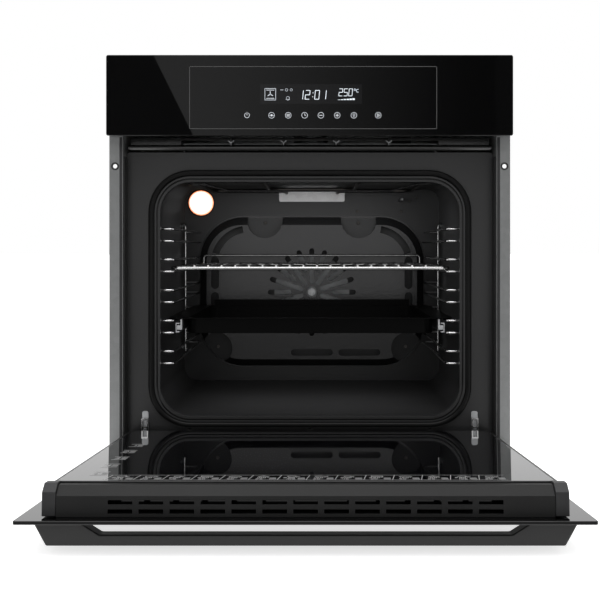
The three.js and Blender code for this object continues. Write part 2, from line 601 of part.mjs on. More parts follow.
function convection() {
  const outer = rounded(COVER_W, COVER_H, COVER_R, 0, FAN_Z);
  const inset = COVER_SLOPE + 2;
  const rear = CAVITY_REAR - GAP;
  const flange = slab(outer, rear - SHEET, rear, 6);
  const bump = dish(COVER_W - 2 * inset, COVER_H - 2 * inset, COVER_R - inset, COVER_FACE, rear - SHEET / 2, rear);
  const inner = inset + COVER_T;
  const inside = dish(COVER_W - 2 * inner, COVER_H - 2 * inner, COVER_R - inner, COVER_FACE + COVER_T, rear, rear + 1);
  // Round bites out of the face leave flat ground for the screws.
  const bites = (extra) => {
    const [y0, y1] = [COVER_FACE - 2, rear - SHEET];
    return [-1, 1].flatMap((s) => [
      rodY(LOW_BITE_R + extra, y0, y1, s * (COVER_W / 2 - LOW_BITE_IN[0]), FAN_Z - COVER_H / 2 + LOW_BITE_IN[1], 18),
      rodY(HIGH_BITE_R + extra, y0, y1, s * HIGH_BITE[0], FAN_Z + COVER_H / 2 - HIGH_BITE[1], 18),
    ]);
  };
  const holes = [rodY(11, COVER_FACE - 2, COVER_FACE + 4, 0, FAN_Z, 14)];
  for (let i = 0; i < STAR_SLOTS; i++) {
    const near = STAR_IN[i % 2];
    const a = (i * 2 * Math.PI) / STAR_SLOTS;
    const mid = (near + STAR_OUT) / 2;
    const [x, z] = [mid * Math.cos(a), FAN_Z + mid * Math.sin(a)];
    holes.push(slotCutter(STAR_OUT - near, STAR_SLOT_W, x, z, a, COVER_FACE - 2, COVER_FACE + 4));
  }
  const [slotL, slotW, slotX] = SIDE_SLOT;
  const [arcX, arcZ, arcOut, arcIn] = ARC_SLOT;
  for (const s of [-1, 1]) {
    for (const z of [FAN_Z + 36.5, FAN_Z - 30.5]) {
      holes.push(slotCutter(slotL, slotW, s * slotX, z, Math.PI / 2, COVER_FACE - 2, COVER_FACE + 4));
    }
    const arc = new THREE.Shape();
    const [a0, a1] = s < 0 ? [(100 / 180) * Math.PI, (163 / 180) * Math.PI] : [(17 / 180) * Math.PI, (80 / 180) * Math.PI];
    arc.absarc(s * arcX, FAN_Z + arcZ, arcOut, a0, a1, false);
    arc.absarc(s * arcX, FAN_Z + arcZ, arcIn, a1, a0, true);
    holes.push(slab(arc, COVER_FACE - 2, COVER_FACE + 4, 6));
  }
  for (const x of [0, 90]) holes.push(slotCutter(79, 12, x, FAN_Z - 114, 0, COVER_FACE - 2, COVER_FACE + 4));
  const shell = cut(join(flange, cut(bump, ...bites(0))), cut(inside, ...bites(COVER_T)), ...holes);
  add("fan_cover", shell, "enamel");

  const hubY = CAVITY_REAR - 8;
  let wheel = rodY(FAN_R, hubY - 1.2, hubY, 0, FAN_Z, 30);
  wheel = join(wheel, rodY(11, hubY - 14, hubY + 3, 0, FAN_Z, 14));
  for (let i = 0; i < FAN_BLADES; i++) {
    const blade = new THREE.BoxGeometry(FAN_R - 34, 12, 1.2);
    blade.rotateY(0.5).translate((FAN_R + 30) / 2, hubY - 7, 0);
    blade.rotateY((i * 2 * Math.PI) / FAN_BLADES).translate(0, 0, FAN_Z);
    wheel = join(wheel, solid(blade));
  }
  const bore = rodY(SHAFT_R + GAP, hubY - 20, hubY + 6, 0, FAN_Z, 12);
  add("fan_wheel", cut(wheel, bore), "steel");
  add("fan_shaft", rodY(SHAFT_R, hubY - 19, CAVITY_REAR + 80, 0, FAN_Z, 12), "steel");
  const nut = rodY(2 * SHAFT_R, hubY - 19, hubY - 14 - GAP, 0, FAN_Z, 6);
  add("fan_nut", cut(nut, rodY(SHAFT_R + GAP, hubY - 22, hubY - 10, 0, FAN_Z, 12)), "steel");

  const motorY = CAVITY_REAR + ENAMEL + WRAP_T + 4;
  const motor = join(
    box(-34, 34, motorY + 16, motorY + 44, FAN_Z - 38, FAN_Z + 38),
    box(-60, 60, motorY, motorY + 1.5, FAN_Z - 14, FAN_Z + 14),
    rodY(16, motorY + 1, motorY + 17, 0, FAN_Z, 14),
  );
  add("fan_motor", cut(motor, rodY(SHAFT_R + 1, motorY - 2, motorY + 60, 0, FAN_Z, 12)), "steel");
}

// ---------- cooling blower above the cavity ----------
function cooling() {
  const low = CAVITY_TOP + ENAMEL + WRAP_T + 3;
  const [cy, r, h, t] = [at(BLOWER_Y), BLOWER_R, BLOWER_H, BLOWER_T];
  const duct = join(
    rodZ(r, low, low + h, 0, cy, 28),
    box(-DUCT_X, DUCT_X, FRAME_Y + 12, cy - 60, low, low + DUCT_H),
    box(-r, 0, cy - 62, cy, low, low + DUCT_H),
  );
  const room = join(
    rodZ(r - t, low + t, low + h - t, 0, cy, 28),
    box(-DUCT_X + 2, DUCT_X - 2, FRAME_Y + 10, cy - 61, low + t, low + DUCT_H - t),
    box(-r + t, -2, cy - 64, cy, low + t, low + DUCT_H - t),
  );
  add("blower_housing", cut(duct, room, rodZ(46, low + h - 4, low + h + 4, 0, cy, 24)), "zinc");
  const hub = rodZ(10, low + 6, low + 30, 0, cy, 12);
  let wheel = join(rodZ(BLOWER_WHEEL_R, low + 6, low + 8, 0, cy, 28), hub);
  for (let i = 0; i < BLOWER_BLADES; i++) {
    const blade = new THREE.BoxGeometry(16, 1.2, 20).rotateZ(0.5).translate(BLOWER_WHEEL_R - 10, 0, low + 17);
    blade.rotateZ((i * 2 * Math.PI) / BLOWER_BLADES).translate(0, cy, 0);
    wheel = join(wheel, solid(blade));
  }
  add("blower_wheel", wheel, "blackPlastic");
  const motor = join(
    rodZ(30, low + h + 6, low + h + 34, 0, cy, 18),
    rodZ(6, low + 30.5, low + h + 8, 0, cy, 10),
    box(-70, 70, cy - 8, cy + 8, low + h + 4, low + h + 7),
    box(-70, -62, cy - 8, cy + 8, low + h + GAP, low + h + 5),
    box(62, 70, cy - 8, cy + 8, low + h + GAP, low + h + 5),
  );
  add("blower_motor", motor, "steel");
}

// ---------- shelf racks, runners, shelf and tray ----------

function racks() {
  const half = CAVITY_W / 2;
  for (const [side, s] of sides) {
    const [xi, xo] = [s * RACK_INNER_X, s * RACK_POST_X];
    const [top, low] = [LEVEL_TOP_Z + 18, levelZ(LEVELS - 1) - LEVEL_SLOT - 16];
    let rack = join(
      rodZ(RACK_POST_R, low, top, xo, RACK_FRONT),
      rodZ(RACK_POST_R, low, top, xo, RACK_REAR),
    );
    for (const y of [RACK_FRONT, RACK_REAR]) {
      for (const z of [low + 6, top - 6]) {
        const [a, b] = [xo - s, s * (half - GAP)];
        rack = join(rack, rodX(3, Math.min(a, b), Math.max(a, b), y, z, 8));
      }
    }
    for (let n = 0; n < LEVELS; n++) {
      for (const z of [levelZ(n), levelZ(n) - LEVEL_SLOT]) {
        const [a, b] = [Math.min(xi, xo) - 1, Math.max(xi, xo) + 1];
        rack = join(
          rack,
          rodX(RACK_WIRE_R, a, b, RACK_FRONT, z),
          rodX(RACK_WIRE_R, a, b, RACK_REAR, z),
          rodY(RACK_WIRE_R, RACK_FRONT - 1, RACK_REAR + 1, xi, z),
        );
      }
    }
    add(`rack_${side}`, rack, "chrome");

    runner(side, s);
  }
}

// A telescopic runner: a channel that stays and a slider that goes out with the tray.
function runner(side, s) {
  const z = levelZ(TRAY_LEVEL);
  const xb = RACK_INNER_X - RACK_WIRE_R - GAP;
  const xa = xb - RUNNER_W;
  const [top, low] = [z - RUNNER_DROP, z - RUNNER_DROP - RUNNER_H];
  const y1 = RACK_FRONT + RUNNER_L;
  const channel = cut(
    sideBox(s, xa, xb, RACK_FRONT, y1, low, top),
    sideBox(s, xa - 1, xb - RUNNER_T, RACK_FRONT - 1, y1 + 1, low + 2, top - 2),
  );
  const clips = [RACK_FRONT + 40, y1 - 40].map((y) => sideBox(s, xb - 1, xb + 1.2, y, y + 12, low + 4, top - 3));
  add(`runner_channel_${side}`, join(channel, ...clips), "steel");
  const slider = join(
    sideBox(s, xa + GAP, xb - RUNNER_T - GAP, RACK_FRONT + 1, y1 - 2, low + 4, top - 4),
    sideBox(s, xa - 4, xa + 1, RACK_FRONT + 1, y1 - 2, low + 4, top - 4),
    sideBox(s, xa - 4, xa - 1, RACK_FRONT + 1, y1 - 2, low + 5, z + RACK_WIRE_R),
  );
  add(`runner_slider_${side}`, slider, "steel");
}

function shelf() {
  const [x, y0] = [SHELF_W / 2, RACK_FRONT + 3.5];
  const y1 = y0 + SHELF_D;
  const z = levelZ(SHELF_LEVEL) - LEVEL_SLOT + RACK_WIRE_R + SHELF_ROD_R + GAP;
  const r = SHELF_ROD_R;
  let made = join(
    rodX(r, -x, x, y0, z),
    rodX(r, -x, x, y1, z),
    rodY(r, y0 - 2, y1 + 2, -x, z),
    rodY(r, y0 - 2, y1 + 2, x, z),
  );
  for (let i = 0; i < SHELF_WIRES; i++) {
    const wx = (i - (SHELF_WIRES - 1) / 2) * SHELF_WIRE_PITCH;
    made = join(made, rodY(CROSS_R, y0 - 2, y1 + 2, wx, z + r));
  }
  const fenceX = RACK_INNER_X - RACK_WIRE_R - 4;
  for (const s of [-1, 1]) made = join(made, rodZ(FENCE_R, z - 1, z + FENCE_H + 1, s * fenceX, y1));
  made = join(made, rodX(FENCE_R, -fenceX - 1, fenceX + 1, y1, z + FENCE_H));
  add("wire_shelf", made, "chrome");
}

function tray() {
  const top = levelZ(TRAY_LEVEL) + RACK_WIRE_R + GAP + TRAY_WALL;
  const [y0, x] = [RACK_FRONT + 6, RACK_INNER_X - TRAY_WING];
  const y1 = y0 + TRAY_D;
  const cy = (y0 + y1) / 2;
  const panD = TRAY_D - 2 * TRAY_RIM;
  const inside = () => rounded(2 * (x - TRAY_WALL), panD - 2 * TRAY_WALL, TRAY_R - TRAY_WALL, 0, cy);
  const pan = cut(
    flatSlab(rounded(2 * x, panD, TRAY_R, 0, cy), top - TRAY_H, top, 4),
    flatSlab(inside(), top - TRAY_H + TRAY_WALL, top + 1, 4),
  );
  const rim = rounded(TRAY_W, TRAY_D, TRAY_R - 4, 0, cy);
  rim.holes.push(inside());
  const fence = box(-x + 8, x - 8, y1 - TRAY_WALL, y1, top - TRAY_WALL, top + TRAY_FENCE);
  add("baking_tray", join(pan, flatSlab(rim, top - TRAY_WALL, top, 4), fence), "enamel");
}

// ---------- hinges ----------
function hinges() {
  const axisY = at(HINGE_SETBACK);
  for (const [side, s] of sides) {
    const x0 = s * HINGE_X - ARM_T / 2;
    const profile = new THREE.Shape();
    profile.absarc(axisY, HINGE_Z, 8, Math.PI / 2, 1.5 * Math.PI);
    profile.lineTo(FRAME_Y + 26, HINGE_Z - 8);
    profile.lineTo(FRAME_Y + 26, HINGE_Z + 8);
    profile.lineTo(FRAME_Y - 1.2, HINGE_Z + 8);
    profile.lineTo(FRAME_Y - 1.2, HINGE_Z + 17);
    profile.lineTo(FRAME_Y - 7.2, HINGE_Z + 17);
    profile.lineTo(FRAME_Y - 7.2, HINGE_Z + 8);
    const plate = cut(sideSlab(profile, x0, x0 + ARM_T, 6), rodX(2.1, x0 - 1, x0 + ARM_T + 1, FRAME_Y - 5, HINGE_Z + 12, 10));
    const ends = [s * (HINGE_X - 15), s * (HINGE_X + 10)];
    const pin = rodX(PIN_R - GAP, Math.min(...ends), Math.max(...ends), axisY, HINGE_Z, 12);
    add(`hinge_arm_${side}`, join(plate, pin), "steel");

    const mid = s * HINGE_X;
    const receiver = cut(
      slab(rounded(9.6, 49, 3, mid, HINGE_Z + 17.5), FRAME_Y - 1 - GAP, FRAME_Y - GAP, 3),
      box(mid - ARM_T / 2 - GAP, mid + ARM_T / 2 + GAP, FRAME_Y - 4, FRAME_Y + 2, HINGE_Z - 8.3, HINGE_Z + 18),
    );
    add(`hinge_receiver_${side}`, receiver, "steel");

    // The catch that is flipped forward to hold the spring when the door is lifted off.
    const [py, pz] = [FRAME_Y - 5, HINGE_Z + 12];
    const [legIn, legOut] = [ARM_T / 2 + 0.6, ARM_T / 2 + 2.4];
    const catchPiece = join(
      box(mid - legOut, mid - legIn, py - 1.5, py + 1.5, pz - 2.5, pz + 20),
      box(mid + legIn, mid + legOut, py - 1.5, py + 1.5, pz - 2.5, pz + 20),
      box(mid - legOut, mid + legOut, py - 1.5, py + 1.5, pz + 17, pz + 20),
      rodX(1.8, mid - legOut, mid + legOut, py, pz, 10),
    );
    add(`hinge_catch_${side}`, catchPiece, "chrome");
  }
}

// ---------- door, drawn closed about its hinge axis, with Y to the back ----------
function doorLeaf() {
  const outerY = -HINGE_SETBACK;
  const glassIn = outerY + GLASS_T;
  const innerY = outerY + DOOR_T;
  const face = innerY - GLASS_T;
  const boxX = WIDTH / 2 - DOOR_BOX_INSET;
  const capTop = DOOR_L - DOOR_TOP_INSET;
  const paneTop = capTop - CAP_H;
  const midZ = (DOOR_L - DOOR_SKIRT) / 2;

  const outer = rounded(WIDTH, DOOR_L + DOOR_SKIRT, 3, 0, midZ);
  add("door_outer_glass", slab(outer, outerY, glassIn, 4), "blackGlass", door);
  const inner = rounded(2 * (boxX - PANE_OVERHANG), paneTop - DOOR_SILL, 4, 0, (paneTop + DOOR_SILL) / 2);
  add("door_inner_glass", slab(inner, face, innerY, 4), "blackGlass", door);
  const middle = rounded(2 * (HINGE_X - 12), paneTop - 40, 3, 0, (paneTop + 10) / 2);
  add("door_middle_glass", slab(middle, MIDDLE_Y, MIDDLE_Y + GLASS_T, 4), "blackGlass", door);

  // Rails down both sides, open towards the middle, and one across the bottom.
  const [near, far] = [glassIn + GAP, face - GAP];
  const capLow = capTop - CAP_D;
  const railTop = capLow - 1;
  const railX = HINGE_X - 20;
  for (const [side, s] of sides) {
    const rail = join(
      sideBox(s, boxX - RAIL_T, boxX, near, far, DOOR_FOOT, railTop),
      sideBox(s, boxX - 12, boxX, near, near + RAIL_T, DOOR_FOOT, railTop),
      sideBox(s, boxX - 15, boxX, far - RAIL_T, far, DOOR_SILL, railTop),
    );
    add(`door_side_rail_${side}`, rail, "blackMetal", door);
  }
  const bottom = join(
    box(-railX, railX, near, near + RAIL_T, DOOR_FOOT, 14),
    box(-railX, railX, near, far, DOOR_FOOT, DOOR_FOOT + RAIL_T),
    box(-railX, railX, far - RAIL_T, far, DOOR_FOOT, 14),
  );
  add("door_bottom_rail", bottom, "blackMetal", door);

  // The vented cap along the top edge, and its two moulded ends.
  const backY = innerY - 2;
  const cap = [
    [near, capLow],
    [near, capTop],
    [backY - CAP_BEVEL, capTop],
    [backY, capTop - CAP_BEVEL],
    [backY, paneTop + GAP],
    [far, paneTop + GAP],
    [far, capLow],
  ];
  const capX = boxX - 13.5;
  const room = [
    [near + RAIL_T, capLow - 1],
    [near + RAIL_T, capTop - 1.8],
    [backY - CAP_BEVEL - 0.6, capTop - 1.8],
    [far - RAIL_T, capTop - 12],
    [far - RAIL_T, capLow - 1],
  ];
  const slots = [];
  for (let i = 0; i < VENT_COLUMNS; i++) {
    const x = (i - (VENT_COLUMNS - 1) / 2) * VENT_PITCH;
    for (const y of VENT_ROWS) {
      slots.push(box(x - VENT_W / 2, x + VENT_W / 2, y - VENT_H / 2, y + VENT_H / 2, capTop - 5, capTop + 2));
    }
  }
  const vented = cut(sideSlab(outline(cap), -capX, capX), sideSlab(outline(room), -capX + 2, capX - 2), ...slots);
  add("door_top_cap", vented, "blackMetal", door);
  const endCap = [
    [near + 1, capLow],
    [near + 1, capTop + 1],
    [face - 4, capTop + 1],
    [innerY + 0.2, capTop - 8],
    [innerY + 0.2, paneTop + GAP],
    [far, paneTop + GAP],
    [far, capLow],
  ];
  for (const [side, s] of sides) {
    const x = s > 0 ? [capX + GAP, boxX + 1] : [-boxX - 1, -capX - GAP];
    add(`door_cap_end_${side}`, sideSlab(outline(endCap), ...x), "blackPlastic", door);
  }

  // The handle: a flat bar on two raked feet.
  const [y0, y1] = [outerY - GAP, outerY - HANDLE_OUT];
  const half = WIDTH / 2 - HANDLE_INSET;
  const shoulder = (HANDLE_OUT - HANDLE_BAR) * 1.6;
  const bar = outline([
    [-half, y0],
    [-half + HANDLE_RAKE, y1],
    [half - HANDLE_RAKE, y1],
    [half, y0],
    [half - HANDLE_FOOT, y0],
    [half - HANDLE_FOOT - shoulder, y1 + HANDLE_BAR],
    [-half + HANDLE_FOOT + shoulder, y1 + HANDLE_BAR],
    [-half + HANDLE_FOOT, y0],
  ]);
  const high = DOOR_L - HANDLE_FROM_TOP;
  add("door_handle", flatSlab(bar, high - HANDLE_D, high), "blackMetal", door);

  // Hinge channels in the door, each with a sprung rod that the arm's tail draws along.
  for (const [side, s] of sides) {
    const [a, b] = [HINGE_X - HINGE_GAP / 2 - RAIL_T, HINGE_X + HINGE_GAP / 2 + RAIL_T];
    const channel = cut(
      join(
        sideBox(s, a, a + RAIL_T, near, 7, DOOR_FOOT, CHANNEL_H),
        sideBox(s, b - RAIL_T, b, near, 7, DOOR_FOOT, CHANNEL_H),
        sideBox(s, a, b, near, near + RAIL_T, 22, CHANNEL_H),
        sideBox(s, a, b, near, near + 20, SPRING_LOW - 2, SPRING_LOW - 0.5),
      ),
      rodX(PIN_R, s * HINGE_X - 12, s * HINGE_X + 12, 0, 0, 16),
      rodZ(SPRING_ROD_R + 0.7, SPRING_LOW - 4, SPRING_LOW + 2, s * HINGE_X, SPRING_Y, 10),
    );
    add(`hinge_channel_${side}`, channel, "steel", door);
    const seat = rodZ(SPRING_R, SPRING_HIGH + 0.5, SPRING_HIGH + 3.5, s * HINGE_X, SPRING_Y, 10);
    const rodPiece = join(rodZ(SPRING_ROD_R, 24, SPRING_HIGH + 2.5, s * HINGE_X, SPRING_Y, 8), seat);
    add(`spring_rod_${side}`, rodPiece, "steel", door);
    const bore = rodZ(SPRING_ROD_R + 0.8, SPRING_LOW - 2, SPRING_HIGH + 2, s * HINGE_X, SPRING_Y, 12);
    const spring = cut(rodZ(SPRING_R, SPRING_LOW, SPRING_HIGH, s * HINGE_X, SPRING_Y, 12), bore);
    add(`hinge_spring_${side}`, spring, "steel", door);
  }
}

casing();
front();
controls();
cavity();
heating();
convection();
cooling();
racks();
shelf();
tray();
hinges();
doorLeaf();

export default oven;
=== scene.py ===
# %% [markdown]
# # A built-in wall oven with its door down
# The oven's solids come packed as a frame: its sizes, its moving bodies and its joints. Here each solid
# that shows gets its real surface, and the pieces too small for the frame are added: screws, rims,
# wires, printing and glass.

# %% Load the frame and keep its box
import json
import math

import bpy
from mathutils import Matrix, Vector

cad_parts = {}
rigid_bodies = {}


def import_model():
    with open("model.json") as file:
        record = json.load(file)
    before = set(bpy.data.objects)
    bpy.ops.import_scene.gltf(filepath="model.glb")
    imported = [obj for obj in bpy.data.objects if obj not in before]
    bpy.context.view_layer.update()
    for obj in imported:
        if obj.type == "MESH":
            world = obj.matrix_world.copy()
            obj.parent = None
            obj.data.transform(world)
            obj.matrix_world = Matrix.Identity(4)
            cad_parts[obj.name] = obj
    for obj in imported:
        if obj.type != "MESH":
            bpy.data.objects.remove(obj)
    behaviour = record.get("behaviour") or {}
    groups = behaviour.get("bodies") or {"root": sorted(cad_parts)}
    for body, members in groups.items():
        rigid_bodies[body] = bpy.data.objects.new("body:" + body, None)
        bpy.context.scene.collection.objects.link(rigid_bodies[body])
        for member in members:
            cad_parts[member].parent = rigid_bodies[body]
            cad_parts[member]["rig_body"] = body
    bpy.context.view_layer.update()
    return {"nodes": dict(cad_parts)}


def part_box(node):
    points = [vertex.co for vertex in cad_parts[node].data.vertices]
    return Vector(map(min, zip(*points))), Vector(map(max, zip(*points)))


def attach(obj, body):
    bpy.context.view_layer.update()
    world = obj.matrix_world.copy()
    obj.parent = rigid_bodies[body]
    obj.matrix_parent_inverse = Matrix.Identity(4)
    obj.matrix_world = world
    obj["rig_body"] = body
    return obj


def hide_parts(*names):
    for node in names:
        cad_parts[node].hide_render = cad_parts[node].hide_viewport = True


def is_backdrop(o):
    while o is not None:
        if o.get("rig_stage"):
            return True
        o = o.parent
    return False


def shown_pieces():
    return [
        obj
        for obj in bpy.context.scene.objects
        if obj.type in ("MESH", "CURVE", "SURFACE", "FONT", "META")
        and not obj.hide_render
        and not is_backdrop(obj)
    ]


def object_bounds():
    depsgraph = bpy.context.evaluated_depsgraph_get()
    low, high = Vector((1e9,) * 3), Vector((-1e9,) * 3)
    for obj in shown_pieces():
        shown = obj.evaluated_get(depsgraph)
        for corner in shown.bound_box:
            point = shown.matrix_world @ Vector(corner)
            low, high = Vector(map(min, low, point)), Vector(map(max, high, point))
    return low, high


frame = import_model()
nodes = frame["nodes"]
MM = 0.001
panel_low, panel_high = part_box("control_glass")

# %% [markdown]
# ## Camera
# The oven is seen from straight in front, a little above its middle. The camera stays level and its
# lens is shifted down instead of tilted, as an architect's camera is, so upright edges stay upright.

# %% Place the camera
CAMERA_DISTANCE = 1.40  # in front of the control panel
CAMERA_X, CAMERA_Z = 0.014, 0.316
camera_data = bpy.data.cameras.new("camera")
camera_data.lens = 57.5
camera_data.shift_x = -0.032
camera_data.shift_y = -0.088
camera = bpy.data.objects.new("camera", camera_data)
camera.location = (CAMERA_X, panel_low.y - CAMERA_DISTANCE, CAMERA_Z)
camera.rotation_euler = (math.radians(90), 0, 0)
bpy.context.scene.collection.objects.link(camera)
bpy.context.scene.camera = camera

# %% [markdown]
# ## Floor and light
# Black glass shows only what it mirrors, so the studio is part of the picture. The surroundings are white,
# and a large black card in front keeps the panel deep black. Before it hangs a band of light with a slanted
# left end, which fades to the right and lies across the panel as a grey sheen. Two plain glowing cards, one
# standing and one on the floor, give the satin faces below the panel something to mirror.

# %% Lay the floor
bpy.ops.mesh.primitive_plane_add(size=80, location=(0, 0, -0.0005))
floor = bpy.context.object
floor.name = "floor"
floor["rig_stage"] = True


# %% Hang the studio lights and cards
def area_light(name, place, target, size, power):
    data = bpy.data.lights.new(name, "AREA")
    data.shape = "RECTANGLE"
    data.size, data.size_y = size
    data.energy = power
    light = bpy.data.objects.new(name, data)
    light.location = place
    light.rotation_euler = (Vector(target) - Vector(place)).to_track_quat("-Z", "Y").to_euler()
    bpy.context.scene.collection.objects.link(light)
    return light


world = bpy.data.worlds.new("studio")
bpy.context.scene.world = world
world.use_nodes = True
world.node_tree.nodes["Background"].inputs["Color"].default_value = (1, 1, 1, 1)
world.node_tree.nodes["Background"].inputs["Strength"].default_value = 1.0


def card(name, corners):
    """A four-sided card that the camera doesn't see but the glass does."""
    bpy.ops.mesh.primitive_plane_add(size=1)
    made = bpy.context.object
    made.name = name
    order = (0, 1, 3, 2)  # a plane's points run left to right and near to far
    for point, corner in zip(made.data.vertices, (corners[i] for i in order)):
        point.co = corner
    made.visible_camera = False
    made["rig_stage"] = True
    return made


def upright(half_w, y, low, high):
    """The corners of an upright rectangle."""
    return [(-half_w, y, low), (half_w, y, low), (half_w, y, high), (-half_w, y, high)]


black_front = card("black_front", upright(4, -3.2, 0, 3.4))
BAND_LEFT, BAND_RIGHT, BAND_Y, BAND_LOW, BAND_HIGH = -0.4715, 0.75, -2.9, 0.70, 1.20
BAND_SLANT = -0.494  # sideways for each unit of rise
band_top_left = BAND_LEFT + BAND_SLANT * (BAND_HIGH - BAND_LOW)
band_corners = [(BAND_LEFT, BAND_Y, BAND_LOW), (BAND_RIGHT, BAND_Y, BAND_LOW)]
band_corners += [(BAND_RIGHT, BAND_Y, BAND_HIGH), (band_top_left, BAND_Y, BAND_HIGH)]
band = card("soft_band", band_corners)
GREY_HALF, GREY_Y, GREY_NEAR, GREY_Z = 1.8, -3.0, -0.80, 0.004
grey_front = card("grey_front", upright(GREY_HALF, GREY_Y, 0, 0.70))
grey_corners = [(-GREY_HALF, GREY_Y, GREY_Z), (GREY_HALF, GREY_Y, GREY_Z)]
grey_corners += [(GREY_HALF, GREY_NEAR, GREY_Z), (-GREY_HALF, GREY_NEAR, GREY_Z)]
grey_low = card("grey_low", grey_corners)
for grey in (grey_front, grey_low):
    grey.visible_diffuse = False
    grey.visible_shadow = False
area_light("overhead", (0, -1.2, 2.6), (0, 0, 0.3), (2.4, 1.6), 30)
area_light("front_fill", (0, -2.3, 1.75), (0, -0.1, 0.2), (1.6, 0.5), 6)
inside = area_light("cavity_light", (0, -0.09, 0.40), (0, 0.06, 0.15), (0.34, 0.16), 1.2)
low_inside = area_light("cavity_floor_light", (0, -0.06, 0.178), (0, -0.03, 0.06), (0.34, 0.22), 0.5)
for lamp in (inside, low_inside):
    lamp.visible_camera = False
    lamp.visible_glossy = False
bpy.context.scene.view_settings.view_transform = "Standard"

# %% [markdown]
# ## Shader maths
# A finish is a small formula: a noise here, a mask there. Wrapping a node's socket in a class lets the
# formula be written as one, and each sum or product adds its Math node.


# %% Wrap sockets and materials
class Value:
    """A socket that takes part in sums and products."""

    def __init__(self, finish, socket):
        self.finish = finish
        self.socket = socket

    def math(self, operation, *values):
        return self.finish.add("ShaderNodeMath", {"operation": operation}, dict(enumerate(values)))

    def __add__(self, other):
        return self.math("ADD", self, other)

    def __rsub__(self, other):
        return self.math("SUBTRACT", other, self)

    def __mul__(self, other):
        return self.math("MULTIPLY", self, other)

    def smooth(self, low, high):
        """0 below low and 1 above high, with a soft step between."""
        settings = {"interpolation_type": "SMOOTHSTEP"}
        return self.finish.add("ShaderNodeMapRange", settings, {0: self, 1: low, 2: high})


class Finish:
    """A material whose nodes are added by one method."""

    def __init__(self, name, **sockets):
        self.material = bpy.data.materials.new(name)
        self.material.use_nodes = True
        self.nodes = self.material.node_tree.nodes
        self.links = self.material.node_tree.links
        self.shader = self.nodes["Principled BSDF"]
        self.place = self.add("ShaderNodeTexCoord", {}, {}, "Object")
        self.set(**sockets)

    def add(self, kind, settings, inputs, output=0):
        node = self.nodes.new(kind)
        for key, value in settings.items():
            setattr(node, key, value)
        for key, value in inputs.items():
            self.join(node.inputs[key], value)
        return Value(self, node.outputs[output])

    def join(self, socket, value):
        if isinstance(value, Value):
            self.links.new(value.socket, socket)
        else:
            socket.default_value = value

    def set(self, **sockets):
        for key, value in sockets.items():
            self.join(self.shader.inputs[key.replace("_", " ")], value)
        return self

    def noise(self, scale, detail=3, stretch=(1, 1, 1)):
        where = self.add("ShaderNodeMapping", {}, {"Vector": self.place, "Scale": stretch})
        return self.add("ShaderNodeTexNoise", {}, {"Vector": where, "Scale": scale, "Detail": detail})

    def blend(self, factor, first, second):
        inputs = {"Factor": factor, 6: (*first, 1), 7: (*second, 1)}
        return self.add("ShaderNodeMix", {"data_type": "RGBA"}, inputs, 2)

    def bump(self, height, distance):
        inputs = {"Height": height, "Distance": distance, "Strength": 1.0}
        return self.set(Normal=self.add("ShaderNodeBump", {}, inputs))


# %% [markdown]
# ## Finishes
# Each finish carries what its maker leaves: the orange peel of enamel, the spangle of zinc, the drawing
# lines of steel and the faint haze that a cloth leaves on glass. The steps are small, because a new
# oven is clean.


# %% Glass
def glass_black(name="black printed glass", color=(0.0012, 0.0012, 0.0013)):
    f = Finish(name, Base_Color=(*color, 1), IOR=1.52)
    haze = f.noise(9, 4).smooth(0.5, 0.8)
    f.set(Roughness=haze * 0.03 + 0.015)
    return f.material


def glass_mirror():
    """The inner pane: a metal oxide film sends back more light than bare glass."""
    f = Finish("coated inner glass", Base_Color=(0.0025, 0.0025, 0.003, 1), IOR=1.75)
    haze = f.noise(7, 4).smooth(0.5, 0.85)
    f.set(Roughness=haze * 0.03 + 0.02)
    return f.material


# %% Enamel
def enamel(name, color, roughness, peel, ior=1.5):
    f = Finish(name, IOR=ior)
    cloud = f.noise(14, 4)
    fleck = f.noise(900, 1).smooth(0.72, 0.8)
    shade = tuple(c * 1.25 for c in color)
    f.set(Base_Color=f.blend(cloud * 0.6 + fleck * 0.4, color, shade))
    f.set(Roughness=cloud * 0.08 + roughness)
    f.bump(f.noise(260, 2), peel)
    return f.material


# %% Metals
def zinc(name="zinc sheet", color=(0.30, 0.305, 0.31)):
    f = Finish(name, Metallic=0.85)
    cells = f.add("ShaderNodeTexVoronoi", {}, {"Vector": f.place, "Scale": 110}, "Color")
    spangle = f.add("ShaderNodeRGBToBW", {}, {"Color": cells})
    streak = f.noise(30, 4, (1, 1, 0.15))
    dark = tuple(c * 0.8 for c in color)
    f.set(Base_Color=f.blend(spangle * 0.6 + streak * 0.4, dark, color))
    f.set(Roughness=spangle * 0.12 + streak * 0.1 + 0.34)
    f.bump(streak, 0.00005)
    return f.material


def drawn_steel(name, color, roughness, stretch):
    f = Finish(name, Metallic=1.0)
    lines = f.noise(700, 3, stretch)
    stain = f.noise(25, 3)
    dark = tuple(c * 0.82 for c in color)
    f.set(Base_Color=f.blend(stain, dark, color))
    f.set(Roughness=lines * 0.14 + stain * 0.08 + roughness)
    f.bump(lines, 0.00002)
    return f.material


def satin_black(name, color, roughness, grain, depth, ior=1.45):
    f = Finish(name, IOR=ior)
    speck = f.noise(grain, 2)
    wear = f.noise(18, 4)
    light = tuple(c * 1.5 + 0.002 for c in color)
    f.set(Base_Color=f.blend(wear * 0.7, color, light))
    f.set(Roughness=speck * 0.12 + roughness)
    f.bump(speck, depth)
    return f.material


# %% Insulation, circuit board and lamp
def mineral_wool():
    f = Finish("mineral wool", Roughness=0.95)
    fibre = f.noise(160, 6, (1, 1, 3))
    f.set(Base_Color=f.blend(fibre, (0.42, 0.36, 0.22), (0.75, 0.70, 0.55)))
    f.bump(fibre, 0.002)
    return f.material


